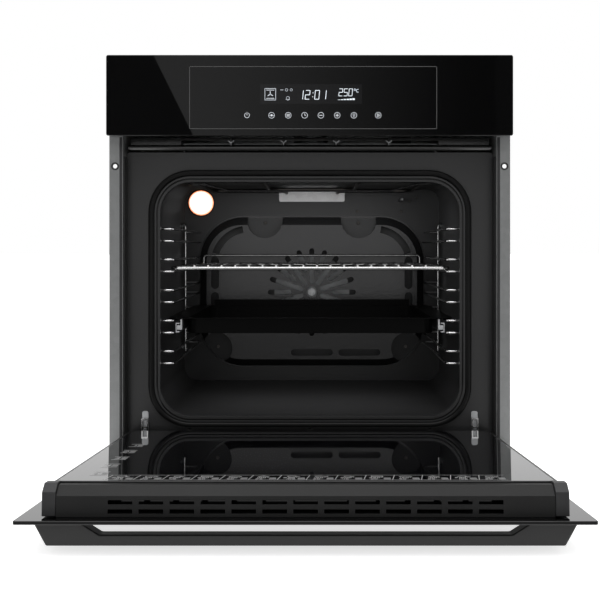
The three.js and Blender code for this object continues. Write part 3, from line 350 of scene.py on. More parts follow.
def board_green():
    f = Finish("circuit board", Roughness=0.35)
    tracks = f.add("ShaderNodeTexBrick", {}, {"Vector": f.place, "Scale": 60}, "Fac")
    f.set(Base_Color=f.blend(tracks, (0.01, 0.12, 0.05), (0.03, 0.25, 0.10)))
    f.bump(tracks, 0.0001)
    return f.material


def glowing_glass(centre, radius):
    """Frosted lamp glass, white in the middle and amber at its rim."""
    f = Finish("glowing lamp glass", Roughness=0.3, Base_Color=(1, 0.85, 0.6, 1))
    middle = f.add("ShaderNodeVectorMath", {"operation": "DISTANCE"}, {0: f.place, 1: centre}, "Value")
    rim = middle.smooth(radius * 0.84, radius * 0.99)
    f.set(Emission_Color=f.blend(rim, (1, 0.93, 0.80), (0.85, 0.16, 0.02)), Emission_Strength=1.3)
    return f.material


def printed(name, color, glow=0.0):
    f = Finish(name, Roughness=0.45)
    grain = f.noise(1500, 1)
    f.set(Base_Color=f.blend(grain, tuple(c * 0.9 for c in color), color))
    if glow:
        f.set(Emission_Color=(*color, 1), Emission_Strength=glow)
    return f.material


def plain_glow(name, strength):
    sockets = {"Base_Color": (0, 0, 0, 1), "Emission_Color": (1, 1, 1, 1)}
    return Finish(name, Roughness=0.8, Emission_Strength=strength, **sockets).material


def soft_band(bright_x, dark_x, strength):
    """A glow that fades from left to right."""
    f = Finish("soft band of light", Roughness=0.8, Base_Color=(0, 0, 0, 1))
    x = f.add("ShaderNodeSeparateXYZ", {}, {"Vector": f.place}, "X")
    fade = 1 - x.smooth(bright_x, dark_x)
    f.set(Emission_Color=f.blend(fade, (0, 0, 0), (1, 1, 1)), Emission_Strength=strength)
    return f.material


# %% Make the finishes
lamp_low, lamp_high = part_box("lamp_lens")
lamp_middle = (lamp_low + lamp_high) / 2
LAMP_R = (lamp_high.x - lamp_low.x) / 2
BLACK_GLASS = glass_black()
INNER_GLASS = glass_mirror()
FRAME_ENAMEL = enamel("satin front enamel", (0.015, 0.015, 0.0155), 0.30, 0.00008)
CAVITY_ENAMEL = enamel("cavity enamel", (0.012, 0.012, 0.0125), 0.15, 0.00012)
LINER_ENAMEL = enamel("liner enamel", (0.022, 0.022, 0.0225), 0.30, 0.00012, 1.38)
OUTLET_ENAMEL = enamel("outlet enamel", (0.004, 0.004, 0.004), 0.14, 0.00005, 1.7)
LIP_ENAMEL = enamel("gloss lip enamel", (0.002, 0.002, 0.002), 0.07, 0.00004, 1.28)
TRAY_ENAMEL = enamel("black tray enamel", (0.0015, 0.0015, 0.0015), 0.30, 0.00010, 1.15)
ZINC = zinc()
FLANGE_GREY = zinc("grey coated flange", (0.28, 0.285, 0.285))
STEEL = drawn_steel("drawn steel", (0.55, 0.56, 0.57), 0.22, (1, 0.04, 1))
CHROME = drawn_steel("bright chrome wire", (0.80, 0.80, 0.80), 0.05, (0.1, 0.1, 0.1))
HEATER = drawn_steel("heater sheath", (0.16, 0.15, 0.14), 0.32, (1, 1, 1))
BLACK_METAL = satin_black("satin black paint", (0.008, 0.008, 0.008), 0.34, 900, 0.00003)
CAP_PAINT = satin_black("cap paint", (0.013, 0.013, 0.013), 0.30, 900, 0.00003, 1.24)
BLACK_PLASTIC = satin_black("moulded black plastic", (0.014, 0.014, 0.015), 0.42, 1400, 0.00004)
RUBBER = satin_black("gasket rubber", (0.002, 0.002, 0.002), 0.30, 2200, 0.00004, 1.25)
WOOL = mineral_wool()
BOARD = board_green()
LAMP_GLASS = glowing_glass(tuple(lamp_middle), LAMP_R)
PRINT_WHITE = printed("lit display", (0.70, 0.75, 0.80), 0.5)
PRINT_DARK = printed("dark grey printing", (0.075, 0.075, 0.075))
PRINT_KEYS = printed("key printing", (0.60, 0.62, 0.65), 0.35)
PRINT_LIT_DIM = printed("dim lit display", (0.50, 0.53, 0.57), 0.25)
SILVER_PRINT = printed("silver printing", (0.48, 0.48, 0.48))
WINDOW_GLASS = glass_black("display window glass", (0.006, 0.006, 0.0065))
FLOOR_PAINT = printed("pale floor", (0.90, 0.90, 0.90), 0.75)
BLACK_CARD = printed("black card", (0.004, 0.004, 0.004))
BAND_GLOW = soft_band(-0.60, 0.72, 0.42)
GREY_GLOW = plain_glow("standing card glow", 1.05)
GREY_LOW_GLOW = plain_glow("floor card glow", 0.30)
BRACKET_ZINC = zinc("bright bracket zinc", (0.95, 0.95, 0.95))
for staged, look in (
    (floor, FLOOR_PAINT),
    (black_front, BLACK_CARD),
    (band, BAND_GLOW),
    (grey_front, GREY_GLOW),
    (grey_low, GREY_LOW_GLOW),
):
    staged.data.materials.append(look)

# %% [markdown]
# ## Working the frame's solids into finished pieces
# The frame's solids have knife edges, and real sheet, glass and castings never do: a narrow rounded
# edge is what catches the light. A copy of each solid gets its loose triangles merged, its flat faces
# dissolved into single polygons, and a bevel of its maker's size. Normals weighted by area keep a big
# face flat right up to its bevel, or glass would mirror the room bent. The copy then stands for the
# solid.


# %% Selecting, finishing and refining
def only(piece):
    bpy.ops.object.select_all(action="DESELECT")
    piece.select_set(True)
    bpy.context.view_layer.objects.active = piece


def settle(piece, name, body, look, angle=35):
    """Apply the place, name and dress a piece, and let it ride on its body."""
    only(piece)
    bpy.ops.object.transform_apply(location=True, rotation=True, scale=True)
    piece.name = name
    piece.data.name = name
    piece.data.materials.clear()
    piece.data.materials.append(look)
    bpy.ops.object.shade_smooth_by_angle(angle=math.radians(angle))
    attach(piece, body)
    return piece


def modify(piece, kind, **settings):
    only(piece)
    modifier = piece.modifiers.new(kind.lower(), kind)
    for key, value in settings.items():
        setattr(modifier, key, value)
    bpy.ops.object.modifier_apply(modifier=modifier.name)


def soften(piece, width, segments=2, angle=30):
    modify(
        piece,
        "BEVEL",
        width=width,
        segments=segments,
        limit_method="ANGLE",
        angle_limit=math.radians(angle),
        use_clamp_overlap=True,
    )


body_of = {name: node["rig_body"] for name, node in nodes.items()}


def refine(node, look, width=0.5 * MM, segments=2, angle=35):
    """A softened copy of a frame solid, which stands for it."""
    piece = nodes[node].copy()
    piece.data = piece.data.copy()
    piece.parent = None
    for key in list(piece.keys()):
        del piece[key]
    bpy.context.scene.collection.objects.link(piece)
    only(piece)
    bpy.ops.mesh.customdata_custom_splitnormals_clear()
    bpy.ops.object.mode_set(mode="EDIT")
    bpy.ops.mesh.select_all(action="SELECT")
    bpy.ops.mesh.remove_doubles(threshold=0.00001)
    bpy.ops.mesh.dissolve_limited(angle_limit=math.radians(0.4))
    bpy.ops.object.mode_set(mode="OBJECT")
    if width:
        soften(piece, width, segments)
    settle(piece, node + "_made", body_of[node], look, angle)
    modify(piece, "WEIGHTED_NORMAL", weight=100, keep_sharp=True)
    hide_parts(node)
    return piece


# %% [markdown]
# ## Wires
# Racks and shelves are bent from rod. Each wire starts as a disc, is drawn out straight by extruding
# it, and is bent by spinning its end about the bend's centre, just as a wire bender works.


# %% Bend a wire
SEAM = 1e-5  # half the gap between the two end faces of a closed loop


def wire(radius, start, heading, path, sides=12, bend_steps=5):
    """A rod along ("run", metres) and ("turn", degrees, axis, bend radius)."""
    here, way = Vector(start), Vector(heading).normalized()
    turn_to = way.to_track_quat("Z", "Y").to_euler()
    bpy.ops.mesh.primitive_circle_add(
        vertices=sides, radius=radius, fill_type="NGON", location=here, rotation=turn_to
    )
    rod = bpy.context.object
    bpy.ops.object.mode_set(mode="EDIT")
    for step, amount, *bend in path:
        if step == "run":
            move = way * amount
            bpy.ops.mesh.extrude_region_move(TRANSFORM_OT_translate={"value": move})
            here = here + move
            continue
        axis, bend_radius = Vector(bend[0]).normalized(), bend[1]
        angle = math.radians(amount)
        centre = here + axis.cross(way) * math.copysign(bend_radius, amount)
        bpy.ops.mesh.spin(steps=bend_steps, angle=-angle, center=centre, axis=axis)
        turned = Matrix.Rotation(angle, 3, axis)
        here = centre + turned @ (here - centre)
        way = turned @ way
    bpy.ops.mesh.select_all(action="SELECT")
    bpy.ops.mesh.remove_doubles(threshold=0.000005)
    bpy.ops.mesh.normals_make_consistent(inside=False)
    bpy.ops.object.mode_set(mode="OBJECT")
    return rod


def joined(pieces):
    bpy.ops.object.select_all(action="DESELECT")
    for piece in pieces:
        piece.select_set(True)
    bpy.context.view_layer.objects.active = pieces[0]
    bpy.ops.object.join()
    return bpy.context.object


# %% [markdown]
# ## Casing
# The casing is zinc-coated sheet, folded at its edges. Pressed beads stiffen its large walls, and self-
# tapping screws hold it together. Each bead is drawn by one function, and the screws are modelled once
# and copied, as they come off one die and one reel.

# %% Refine the casing
for node in ("base_panel", "top_cover", "rear_cover", "blower_housing"):
    refine(node, ZINC, 0.3 * MM)
for side in ("left", "right"):
    refine("side_panel_" + side, FLANGE_GREY, 0.3 * MM)
refine("terminal_block", BLACK_PLASTIC, 1.2 * MM, 3)


# %% Press a stiffening bead
def bead(name, look, middle, size, normal, along):
    """A long shallow dome with round ends, standing on a wall."""
    length, width, height = size
    out, run = Vector(normal), Vector(along)
    axes = Matrix((run * length, out.cross(run) * width, out * height)).transposed()
    bpy.ops.mesh.primitive_cube_add(size=1)
    rib = bpy.context.object
    rib.matrix_world = Matrix.Translation(Vector(middle) + out * height / 2) @ axes.to_4x4()
    only(rib)
    bpy.ops.object.transform_apply(location=True, rotation=True, scale=True)
    soften(rib, min(width, 2 * height) * 0.45, 4)
    return settle(rib, name, "oven", look, 50)


SIDE_BEAD, REAR_BEAD, TOP_BEAD = (0.40, 0.016, 0.0016), (0.44, 0.014, 0.0018), (0.42, 0.014, 0.0016)
BEAD_Z, REAR_BEAD_IN, TOP_BEAD_Y, COVER_T = 0.29, 60 * MM, -0.12, 1.5 * MM
case_low, case_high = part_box("side_panel_left")
back_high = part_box("rear_cover")[1]
side_x, top_z = back_high.x, case_high.z + COVER_T
for side, s in (("left", -1), ("right", 1)):
    for place, y in (("front", -0.10), ("rear", 0.12)):
        middle = (s * side_x, y, BEAD_Z)
        bead(f"side_bead_{place}_{side}", FLANGE_GREY, middle, SIDE_BEAD, (s, 0, 0), (0, 0, 1))
    middle = (s * (side_x - REAR_BEAD_IN), back_high.y, BEAD_Z)
    bead(f"rear_bead_{side}", ZINC, middle, REAR_BEAD, (0, 1, 0), (0, 0, 1))
bead("top_bead", ZINC, (0, TOP_BEAD_Y, top_z), TOP_BEAD, (0, 0, 1), (1, 0, 0))


# %% Turn a screw and set rows of them
def screw(radius=3.6 * MM):
    """A pan-head screw at the origin, facing up, with a round recess in its head."""
    bpy.ops.mesh.primitive_cylinder_add(vertices=24, radius=radius, depth=0.6 * radius)
    head = bpy.context.object
    bpy.ops.object.mode_set(mode="EDIT")
    bpy.ops.mesh.select_all(action="DESELECT")
    bpy.ops.object.mode_set(mode="OBJECT")
    for face in head.data.polygons:
        face.select = face.normal.z > 0.9
    bpy.ops.object.mode_set(mode="EDIT")
    bpy.ops.mesh.inset(thickness=radius * 0.22)
    bpy.ops.transform.translate(value=(0, 0, radius * 0.16))
    bpy.ops.mesh.inset(thickness=radius * 0.30)
    bpy.ops.mesh.inset(thickness=radius * 0.04)
    bpy.ops.transform.translate(value=(0, 0, -radius * 0.35))
    bpy.ops.object.mode_set(mode="OBJECT")
    return head


def screws(name, places, out, look=STEEL, radius=3.6 * MM):
    """Copies of one screw, each turned a little further than the last."""
    pattern = screw(radius)
    turn = Vector(out).to_track_quat("Z", "Y").to_matrix().to_4x4()
    heads = []
    for i, place in enumerate(places):
        head = pattern.copy()
        head.data = pattern.data.copy()
        bpy.context.scene.collection.objects.link(head)
        place = Vector(place) + Vector(out) * radius * 0.3
        head.matrix_world = Matrix.Translation(place) @ turn @ Matrix.Rotation(i * 0.7, 4, "Z")
        heads.append(head)
    bpy.data.objects.remove(pattern)
    return settle(joined(heads), name, "oven", look)


REAR_SCREW_IN, TOP_SCREW_IN, BLOCK_SCREW_X = 10 * MM, 12 * MM, 20 * MM
row = [(s * (side_x - REAR_SCREW_IN), back_high.y, z) for s in (-1, 1) for z in (0.03, 0.20, 0.38, 0.55)]
screws("rear_screws", row, (0, 1, 0))
row = [(s * (side_x - TOP_SCREW_IN), y, top_z) for s in (-1, 1) for y in (-0.22, 0.0, 0.20)]
screws("top_screws", row, (0, 0, 1))
for side, s in (("left", -1), ("right", 1)):
    row = [(s * side_x, y, z) for y in (-0.20, 0.22) for z in (0.045, 0.52)]
    screws("side_screws_" + side, row, (s, 0, 0))
block_low, block_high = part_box("terminal_block")
block_mid = (block_low + block_high) / 2
screws("terminal_screw", [(block_mid.x + BLOCK_SCREW_X, block_high.y, block_mid.z)], (0, 1, 0))

# %% [markdown]
# The flanges' screw holes are drawn inwards when they are punched, which leaves a raised rim round each
# one. A ring with a softened section is enough to catch that line of light.

# %% Rim the flange holes
def ring(place, major, minor, major_segments=48, minor_segments=12):
    """A ring that lies in the plane of the front."""
    bpy.ops.mesh.primitive_torus_add(
        location=place,
        rotation=(math.radians(90), 0, 0),
        major_radius=major,
        minor_radius=minor,
        major_segments=major_segments,
        minor_segments=minor_segments,
    )
    return bpy.context.object


HOLE_Z, HOLE_IN, RIM_LIFT, RIM_R, RIM_WIRE = 0.436, 8.5 * MM, 0.2 * MM, 4.6 * MM, 1.2 * MM
flange_y, hole_x = case_low.y, abs(case_low.x) - HOLE_IN
for side, s in (("left", -1), ("right", 1)):
    rim = ring((s * hole_x, flange_y - RIM_LIFT, HOLE_Z), RIM_R, RIM_WIRE, 36, 10)
    rim.scale.z = 0.6
    settle(rim, "flange_hole_rim_" + side, "oven", BLACK_METAL)

# %% [markdown]
# ## Front of the cavity
# The front frame is enamelled satin. Round the mouth runs a rolled lip of gloss enamel, and outside it
# a hollow rubber gasket. Both are rounded rectangles drawn round the same four corners, so one function
# sweeps them: a round section spun at each corner and extruded along each side.


# %% Sweep a bead round a rounded rectangle
def ring_bead(radius, half_w, half_h, corner, y, middle_z, squash=1.0):
    """A rod that goes round a rounded rectangle in the plane of the front, closed on itself."""
    straight_x, straight_z = 2 * (half_w - corner), 2 * (half_h - corner)
    side_turn = ("turn", -90, (0, 1, 0), corner)
    path = [("run", straight_x / 2 - SEAM), side_turn, ("run", straight_z), side_turn, ("run", straight_x)]
    path += [side_turn, ("run", straight_z), side_turn, ("run", straight_x / 2 - SEAM)]
    rod = wire(radius, (0, y, middle_z - half_h), (1, 0, 0), path, 14, 12)
    only(rod)
    bpy.ops.object.transform_apply(location=True, rotation=True, scale=True)
    for point in rod.data.vertices:
        point.co.y = y + (point.co.y - y) * squash
    return rod


GASKET_R, GASKET_CORNER, GASKET_SQUASH = 4.5 * MM, 0.059, 0.76
LIP_R, LIP_CORNER, LIP_IN, LIP_BACK = 4.6 * MM, 0.050, 9 * MM, 2.2 * MM
seal_low, seal_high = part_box("door_gasket")
seal_mid = (seal_low + seal_high) / 2
half_w, half_h = (seal_high.x - seal_low.x) / 2, (seal_high.z - seal_low.z) / 2
sizes = (half_w - GASKET_R, half_h - GASKET_R, GASKET_CORNER)
seal = ring_bead(GASKET_R, *sizes, seal_mid.y, seal_mid.z, GASKET_SQUASH)
settle(seal, "gasket_tube", "oven", RUBBER, 60)
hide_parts("door_gasket")
sizes = (half_w - LIP_IN - LIP_R, half_h - LIP_IN - LIP_R, LIP_CORNER)
lip = ring_bead(LIP_R, *sizes, seal_mid.y + LIP_BACK, seal_mid.z)
settle(lip, "mouth_lip", "oven", LIP_ENAMEL, 60)

# %% Refine the frame, the liner and the air outlet
front = refine("front_frame", FRAME_ENAMEL, 0.6 * MM)
front.data.materials.append(BLACK_METAL)
WING_X = 0.2725  # the frame's faces beyond this get the black finish instead of enamel
for face in front.data.polygons:
    face.material_index = int(abs(face.center.x) > WING_X)
refine("cavity_liner", LINER_ENAMEL, 0.8 * MM, 3)
refine("air_outlet_trim", OUTLET_ENAMEL, 0.5 * MM)

# %% [markdown]
# A thin black strip lies down each flange beside the frame, so the flange shows dark along the frame. In
# the air outlet, small spring clips hold the panel; each is a wire bent to a Y.

# %% Lay the flange strips and bend the outlet clips
STRIP_W, STRIP_T, STRIP_GAP, STRIP_LOW = 4.2 * MM, 0.5 * MM, 0.9 * MM, 13 * MM
for side, s in (("left", -1), ("right", 1)):
    strip_x = s * (abs(case_high.x) + STRIP_GAP + STRIP_W / 2)
    bpy.ops.mesh.primitive_cube_add(
        size=1,
        location=(strip_x, flange_y - STRIP_T / 2, (STRIP_LOW + panel_low.z) / 2),
        scale=(STRIP_W, STRIP_T, panel_low.z - STRIP_LOW),
    )
    strip = bpy.context.object
    bpy.ops.object.transform_apply(location=True, rotation=True, scale=True)
    soften(strip, 0.2 * MM, 2)
    settle(strip, "flange_strip_" + side, "oven", BLACK_PLASTIC)
CLIP_COUNT, CLIP_PITCH, CLIP_IN, CLIP_UP, CLIP_ANGLE = 4, 79 * MM, 5.2 * MM, 8.5 * MM, 52
outlet_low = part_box("air_outlet_trim")[0]
clips = []
for i in range(CLIP_COUNT):
    foot = ((i - (CLIP_COUNT - 1) / 2) * CLIP_PITCH, outlet_low.y + CLIP_IN, outlet_low.z + CLIP_UP)
    for s in (-1, 1):
        path = [("run", 2.5 * MM), ("turn", s * CLIP_ANGLE, (0, 1, 0), 1.5 * MM), ("run", 5.0 * MM)]
        clips.append(wire(0.8 * MM, foot, (0, 0, 1), path, 8, 3))
settle(joined(clips), "outlet_clips", "oven", STEEL, 60)

# %% Press the door buffers
BUFFER_PITCH, BUFFER_Z, BUFFER_R, BUFFER_IN = 0.181, 0.044, 3.2 * MM, 1.6 * MM
buffer_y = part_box("front_frame")[1].y - BUFFER_IN
for i in range(3):
    at = ((i - 1) * BUFFER_PITCH, buffer_y, BUFFER_Z)
    bpy.ops.mesh.primitive_uv_sphere_add(segments=20, ring_count=12, radius=BUFFER_R, location=at)
    bump = bpy.context.object
    bump.scale.y = 0.75
    settle(bump, f"door_buffer_{i + 1}", "oven", RUBBER, 60)
    settle(ring(at, 4.4 * MM, 0.9 * MM), f"door_buffer_seat_{i + 1}", "oven", FRAME_ENAMEL, 60)

# %% [markdown]
# ## Racks and shelf
# The racks carry five pairs of rails. Each rail comes in from the front post, turns back along the
# wall, and returns to the rear post. The shelf's frame is one rod bent round and welded, with thinner
# wires laid across it and a fence along its rear that stops a dish from sliding off.

# %% Bend the racks
LEVEL_COUNT, LEVEL_PITCH, LEVEL_SLOT = 5, 47 * MM, 18.6 * MM
RAIL_R, POST_R, RAIL_BEND, POST_IN, TOP_RAIL_DOWN = 2.0 * MM, 2.5 * MM, 6 * MM, 6.7 * MM, 18 * MM
STUD_R, STUD_IN = 5.5 * MM, 6 * MM
for side, s in (("left", -1), ("right", 1)):
    low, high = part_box("rack_" + side)
    wall_x, rail_x = (low.x, high.x - RAIL_R) if s < 0 else (high.x, low.x + RAIL_R)
    post_x = wall_x - s * POST_IN
    front_y, rear_y = low.y + POST_R, high.y - POST_R
    inward, side_turn = Vector((-s, 0, 0)), ("turn", -s * 90, (0, 0, 1), RAIL_BEND)
    reach = abs(post_x - rail_x) - RAIL_BEND
    along = ("run", rear_y - front_y - 2 * RAIL_BEND)
    rail_path = [("run", reach), side_turn, along, side_turn, ("run", reach)]
    rods = []
    for level in range(LEVEL_COUNT):
        upper = high.z - TOP_RAIL_DOWN - level * LEVEL_PITCH
        for z in (upper, upper - LEVEL_SLOT):
            rods.append(wire(RAIL_R, (post_x, front_y, z), inward, rail_path, 10))
    hook = [("run", high.z - low.z - 8 * MM), ("turn", s * 90, (0, 1, 0), 5 * MM), ("run", 1 * MM)]
    rods += [wire(POST_R, (post_x, y, low.z), (0, 0, 1), hook, 12) for y in (front_y, rear_y)]
    rack = settle(joined(rods), f"rack_{side}_wires", "oven", CHROME, 60)
    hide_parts("rack_" + side)
    studs = [(wall_x, y, z) for y in (front_y, rear_y) for z in (low.z + STUD_IN, high.z - STUD_IN)]
    screws(f"rack_{side}_studs", studs, (-s, 0, 0), STEEL, STUD_R)

# %% Bend the wire shelf
low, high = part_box("wire_shelf")
ROD_R, CROSS_R, FENCE_R, CORNER, CROSS_PAST = 3.0 * MM, 1.6 * MM, 2.0 * MM, 10 * MM, 1 * MM
FENCE_IN, FENCE_BEND = 11 * MM, 6 * MM
rod_z = low.z + ROD_R
half = high.x - ROD_R
front_y, rear_y = low.y + 2 * ROD_R, high.y - ROD_R
corner = ("turn", 90, (0, 0, 1), CORNER)
across, deep = 2 * (half - CORNER), rear_y - front_y - 2 * CORNER
side_run, long_run, half_run = ("run", deep), ("run", across), ("run", across / 2 - SEAM)
path = [half_run, corner, side_run, corner, long_run, corner, side_run, corner, half_run]
rods = [wire(ROD_R, (0, front_y, rod_z), (1, 0, 0), path, 12)]
CROSS_COUNT, CROSS_PITCH = 18, 21 * MM
for i in range(CROSS_COUNT):
    x = (i - (CROSS_COUNT - 1) / 2) * CROSS_PITCH
    start = (x, front_y - CROSS_PAST, rod_z + ROD_R)
    rods.append(wire(CROSS_R, start, (0, 1, 0), [("run", rear_y - front_y + 2 * CROSS_PAST)], 8))
fence_x, fence_h = half - FENCE_IN, high.z - FENCE_R - rod_z - FENCE_BEND
up_turn = ("turn", 90, (0, 1, 0), FENCE_BEND)
fence = [("run", fence_h), up_turn, ("run", 2 * (fence_x - FENCE_BEND)), up_turn, ("run", fence_h)]
rods.append(wire(FENCE_R, (-fence_x, rear_y, rod_z), (0, 0, 1), fence, 10))
shelf = settle(joined(rods), "shelf_wires", "shelf", CHROME, 60)
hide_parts("wire_shelf")

# %% Refine the tray and its runners
refine("baking_tray", TRAY_ENAMEL, 0.6 * MM, 3)
for side in ("left", "right"):
    refine("runner_channel_" + side, STEEL, 0.3 * MM)
    refine("runner_slider_" + side, STEEL, 0.4 * MM)

# %% [markdown]
# ## Rear wall
# The fan cover is pressed from sheet, so its face meets its sloping sides in a soft bend. Its star of
# slots lets the fan draw air through the middle. The lamp glass is a shallow dome that glows, in a
# bright threaded ring.

# %% Refine the fan cover, fan and heaters
refine("fan_cover", CAVITY_ENAMEL, 0.9 * MM, 3, 40)
refine("fan_wheel", ZINC, 0.3 * MM)
refine("fan_shaft", STEEL, 0.4 * MM)
refine("fan_nut", STEEL, 0.4 * MM)
for heater in ("ring_heater", "grill_heater", "bottom_heater"):
    refine(heater, HEATER, 0, angle=70)
refine("heater_bracket", BRACKET_ZINC, 0.3 * MM)
refine("temperature_probe", STEEL, 0.6 * MM, 3)
refine("lamp_lens", LAMP_GLASS, 0.6 * MM, 3, 60).visible_glossy = False
refine("lamp_holder", STEEL, 0.6 * MM)
refine("lamp_bulb", LAMP_GLASS, 0.8 * MM, 3, 60).visible_glossy = False
cover_low, cover_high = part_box("fan_cover")

# %% Ring the lamp
RING_R, RING_WIRE, RING_IN = LAMP_R + 0.6 * MM, 1.3 * MM, 1.5 * MM
lamp_ring = ring((lamp_middle.x, lamp_high.y - RING_IN, lamp_middle.z), RING_R, RING_WIRE, 48, 10)
settle(lamp_ring, "lamp_ring", "oven", CAVITY_ENAMEL, 60)

# %% Set the cover's screws and the wall's plugs
TAB_IN, TOP_TAB_X, TOP_TAB_DOWN, LOW_TAB_IN, LOW_TAB_UP = 1.2 * MM, 0.089, 13 * MM, 37 * MM, 39 * MM
PLUGS = ((0.202, 0.412), (0.172, 0.385), (0.087, 0.385), (0.188, 0.405))  # x and z
tab_y, wall_y = cover_high.y - TAB_IN, cover_high.y + 0.3 * MM
tabs = [(s * TOP_TAB_X, tab_y, cover_high.z - TOP_TAB_DOWN) for s in (-1, 1)]
tabs += [(s * (cover_high.x - LOW_TAB_IN), tab_y, cover_low.z + LOW_TAB_UP) for s in (-1, 1)]
screws("fan_cover_screws", tabs, (0, -1, 0), HEATER, 3.2 * MM)
screws("wall_plugs", [(x, wall_y, z) for x, z in PLUGS], (0, -1, 0), HEATER, 2.4 * MM)

# %% [markdown]
# The grill element hangs behind a shallow pressed shield. Only the shield's front edge shows, as a line
# that dips in the middle and rises at both ends.

# %% Press the grill shield
SHIELD_FLAT, SHIELD_END, SHIELD_TIP, SHIELD_D, SHIELD_T = 0.128, 0.172, 20 * MM, 22 * MM, 1.2 * MM
SHIELD_Y, SHIELD_Z, SHIELD_RISE = -0.176, 0.4045, 11 * MM
bpy.ops.mesh.primitive_plane_add(size=1, location=(0, SHIELD_Y, SHIELD_Z))
shield = bpy.context.object
shield.scale = (2 * SHIELD_FLAT, SHIELD_D, 1)
bpy.ops.object.transform_apply(location=True, rotation=True, scale=True)
for s in (-1, 1):
    for edge in shield.data.edges:
        ends = [shield.data.vertices[i].co.x for i in edge.vertices]
        edge.select = all(abs(x - s * SHIELD_FLAT) < 1e-5 for x in ends)
    for face in shield.data.polygons:
        face.select = False
    for point in shield.data.vertices:
        point.select = abs(point.co.x - s * SHIELD_FLAT) < 1e-5
    bpy.ops.object.mode_set(mode="EDIT")
    bpy.ops.mesh.select_mode(type="EDGE")
    slope = (s * (SHIELD_END - SHIELD_FLAT), 0, SHIELD_RISE)
    bpy.ops.mesh.extrude_region_move(TRANSFORM_OT_translate={"value": slope})
    bpy.ops.mesh.extrude_region_move(TRANSFORM_OT_translate={"value": (s * SHIELD_TIP, 0, 0)})
    bpy.ops.object.mode_set(mode="OBJECT")
modify(shield, "SOLIDIFY", thickness=SHIELD_T, offset=1)
soften(shield, 0.5 * MM, 3, 10)
settle(shield, "grill_shield", "oven", CAVITY_ENAMEL, 40)

# %% [markdown]
# ## Control panel and its printing
# Printing is a few hundredths of a millimetre of ink, laid here as flat shapes just off the glass. Each
# shape is drawn on a sheet with X to the right and Y up, and a matrix lays the whole sheet on the panel
# or on the door.


# %% List flat shapes
INK = 0.12 * MM


def stroke(x0, y0, x1, y1, width):
    """A bar from one point to another: its middle, length, width and angle."""
    length, angle = math.hypot(x1 - x0, y1 - y0), math.atan2(y1 - y0, x1 - x0)
    return ("bar", (x0 + x1) / 2, (y0 + y1) / 2, length + width * 0.6, width, angle)


def bars(x, y, rows):
    """Strokes about a point, each given in millimetres as x0, y0, x1, y1 and width."""
    return [stroke(x + a * MM, y + b * MM, x + c * MM, y + d * MM, w * MM) for a, b, c, d, w in rows]


def flat_box(x0, x1, y0, y1):
    return ("bar", (x0 + x1) / 2, (y0 + y1) / 2, x1 - x0, y1 - y0, 0)


def spot(x, y, radius):
    return ("disc", x, y, radius, radius, 0)


def loop(x, y, radius, width, sides=24, start=0.0, sweep=360.0, stretch=1.0):
    """An arc of short bars, closed into a ring when it goes all the way round."""
    steps = max(3, round(sides * sweep / 360))
    points = []
    for i in range(steps + 1):
        a = math.radians(start + sweep * i / steps)
        points.append((x + radius * stretch * math.cos(a), y + radius * math.sin(a)))
    return [stroke(*a, *b, width) for a, b in zip(points, points[1:])]


SEGMENTS = {
    "a": (0, 1, 1, 1),
    "b": (1, 0.5, 1, 1),
    "c": (1, 0, 1, 0.5),
    "d": (0, 0, 1, 0),
    "e": (0, 0, 0, 0.5),
    "f": (0, 0.5, 0, 1),
    "g": (0, 0.5, 1, 0.5),
}
LEAN = 0.1  # sideways for each unit of height
DIGITS = {"0": "abcdef", "1": "bc", "2": "abged", "3": "abgcd", "4": "fgbc", "5": "afgcd"}


def digits(text, x, y, width, height, weight, pitch):
    """Seven-segment figures, a colon or a degree sign, leaning a little to the right."""
    shapes = []
    for character in text:
        if character == ":":
            for k in (0.28, 0.72):
                shapes.append(spot(x + pitch * 0.1 + height * k * LEAN, y + height * k, weight * 0.7))
            x += pitch * 0.42
            continue
        if character == "°":
            shapes += loop(x + width * 0.4, y + height * 0.88, width * 0.26, weight * 0.6, 12)
            x += pitch * 0.62
            continue
        for key in DIGITS[character]:
            x0, y0, x1, y1 = SEGMENTS[key]
            trim = weight * 0.35
            ax, ay, bx, by = x + x0 * width, y + y0 * height, x + x1 * width, y + y1 * height
            if y0 == y1:
                ax, bx = ax + trim, bx - trim
            else:
                ay, by = ay + trim, by - trim
            shapes.append(stroke(ax + LEAN * (ay - y), ay, bx + LEAN * (by - y), by, weight))
        x += pitch
    return shapes


# %% [markdown]
# Adding hundreds of small objects is slow, so a sheet's shapes are all added to one mesh in edit mode.
# A seed cube opens the mesh and is deleted before the first shape.


# %% Lay a sheet of ink
def lay(shapes, name, body, look, place):
    bpy.ops.mesh.primitive_cube_add(size=INK)
    sheet = bpy.context.object
    bpy.ops.object.mode_set(mode="EDIT")
    bpy.ops.mesh.select_all(action="SELECT")
    bpy.ops.mesh.delete(type="VERT")
    for kind, x, y, length, width, angle in shapes:
        if kind == "bar":
            bpy.ops.mesh.primitive_cube_add(
                size=1, location=(x, y, 0), rotation=(0, 0, angle), scale=(length, width, INK / 2)
            )
        else:
            at = (x, y, 0)
            bpy.ops.mesh.primitive_cylinder_add(vertices=14, radius=width, depth=INK / 2, location=at)
    bpy.ops.object.mode_set(mode="OBJECT")
    sheet.matrix_world = place
    return settle(sheet, name, body, look)


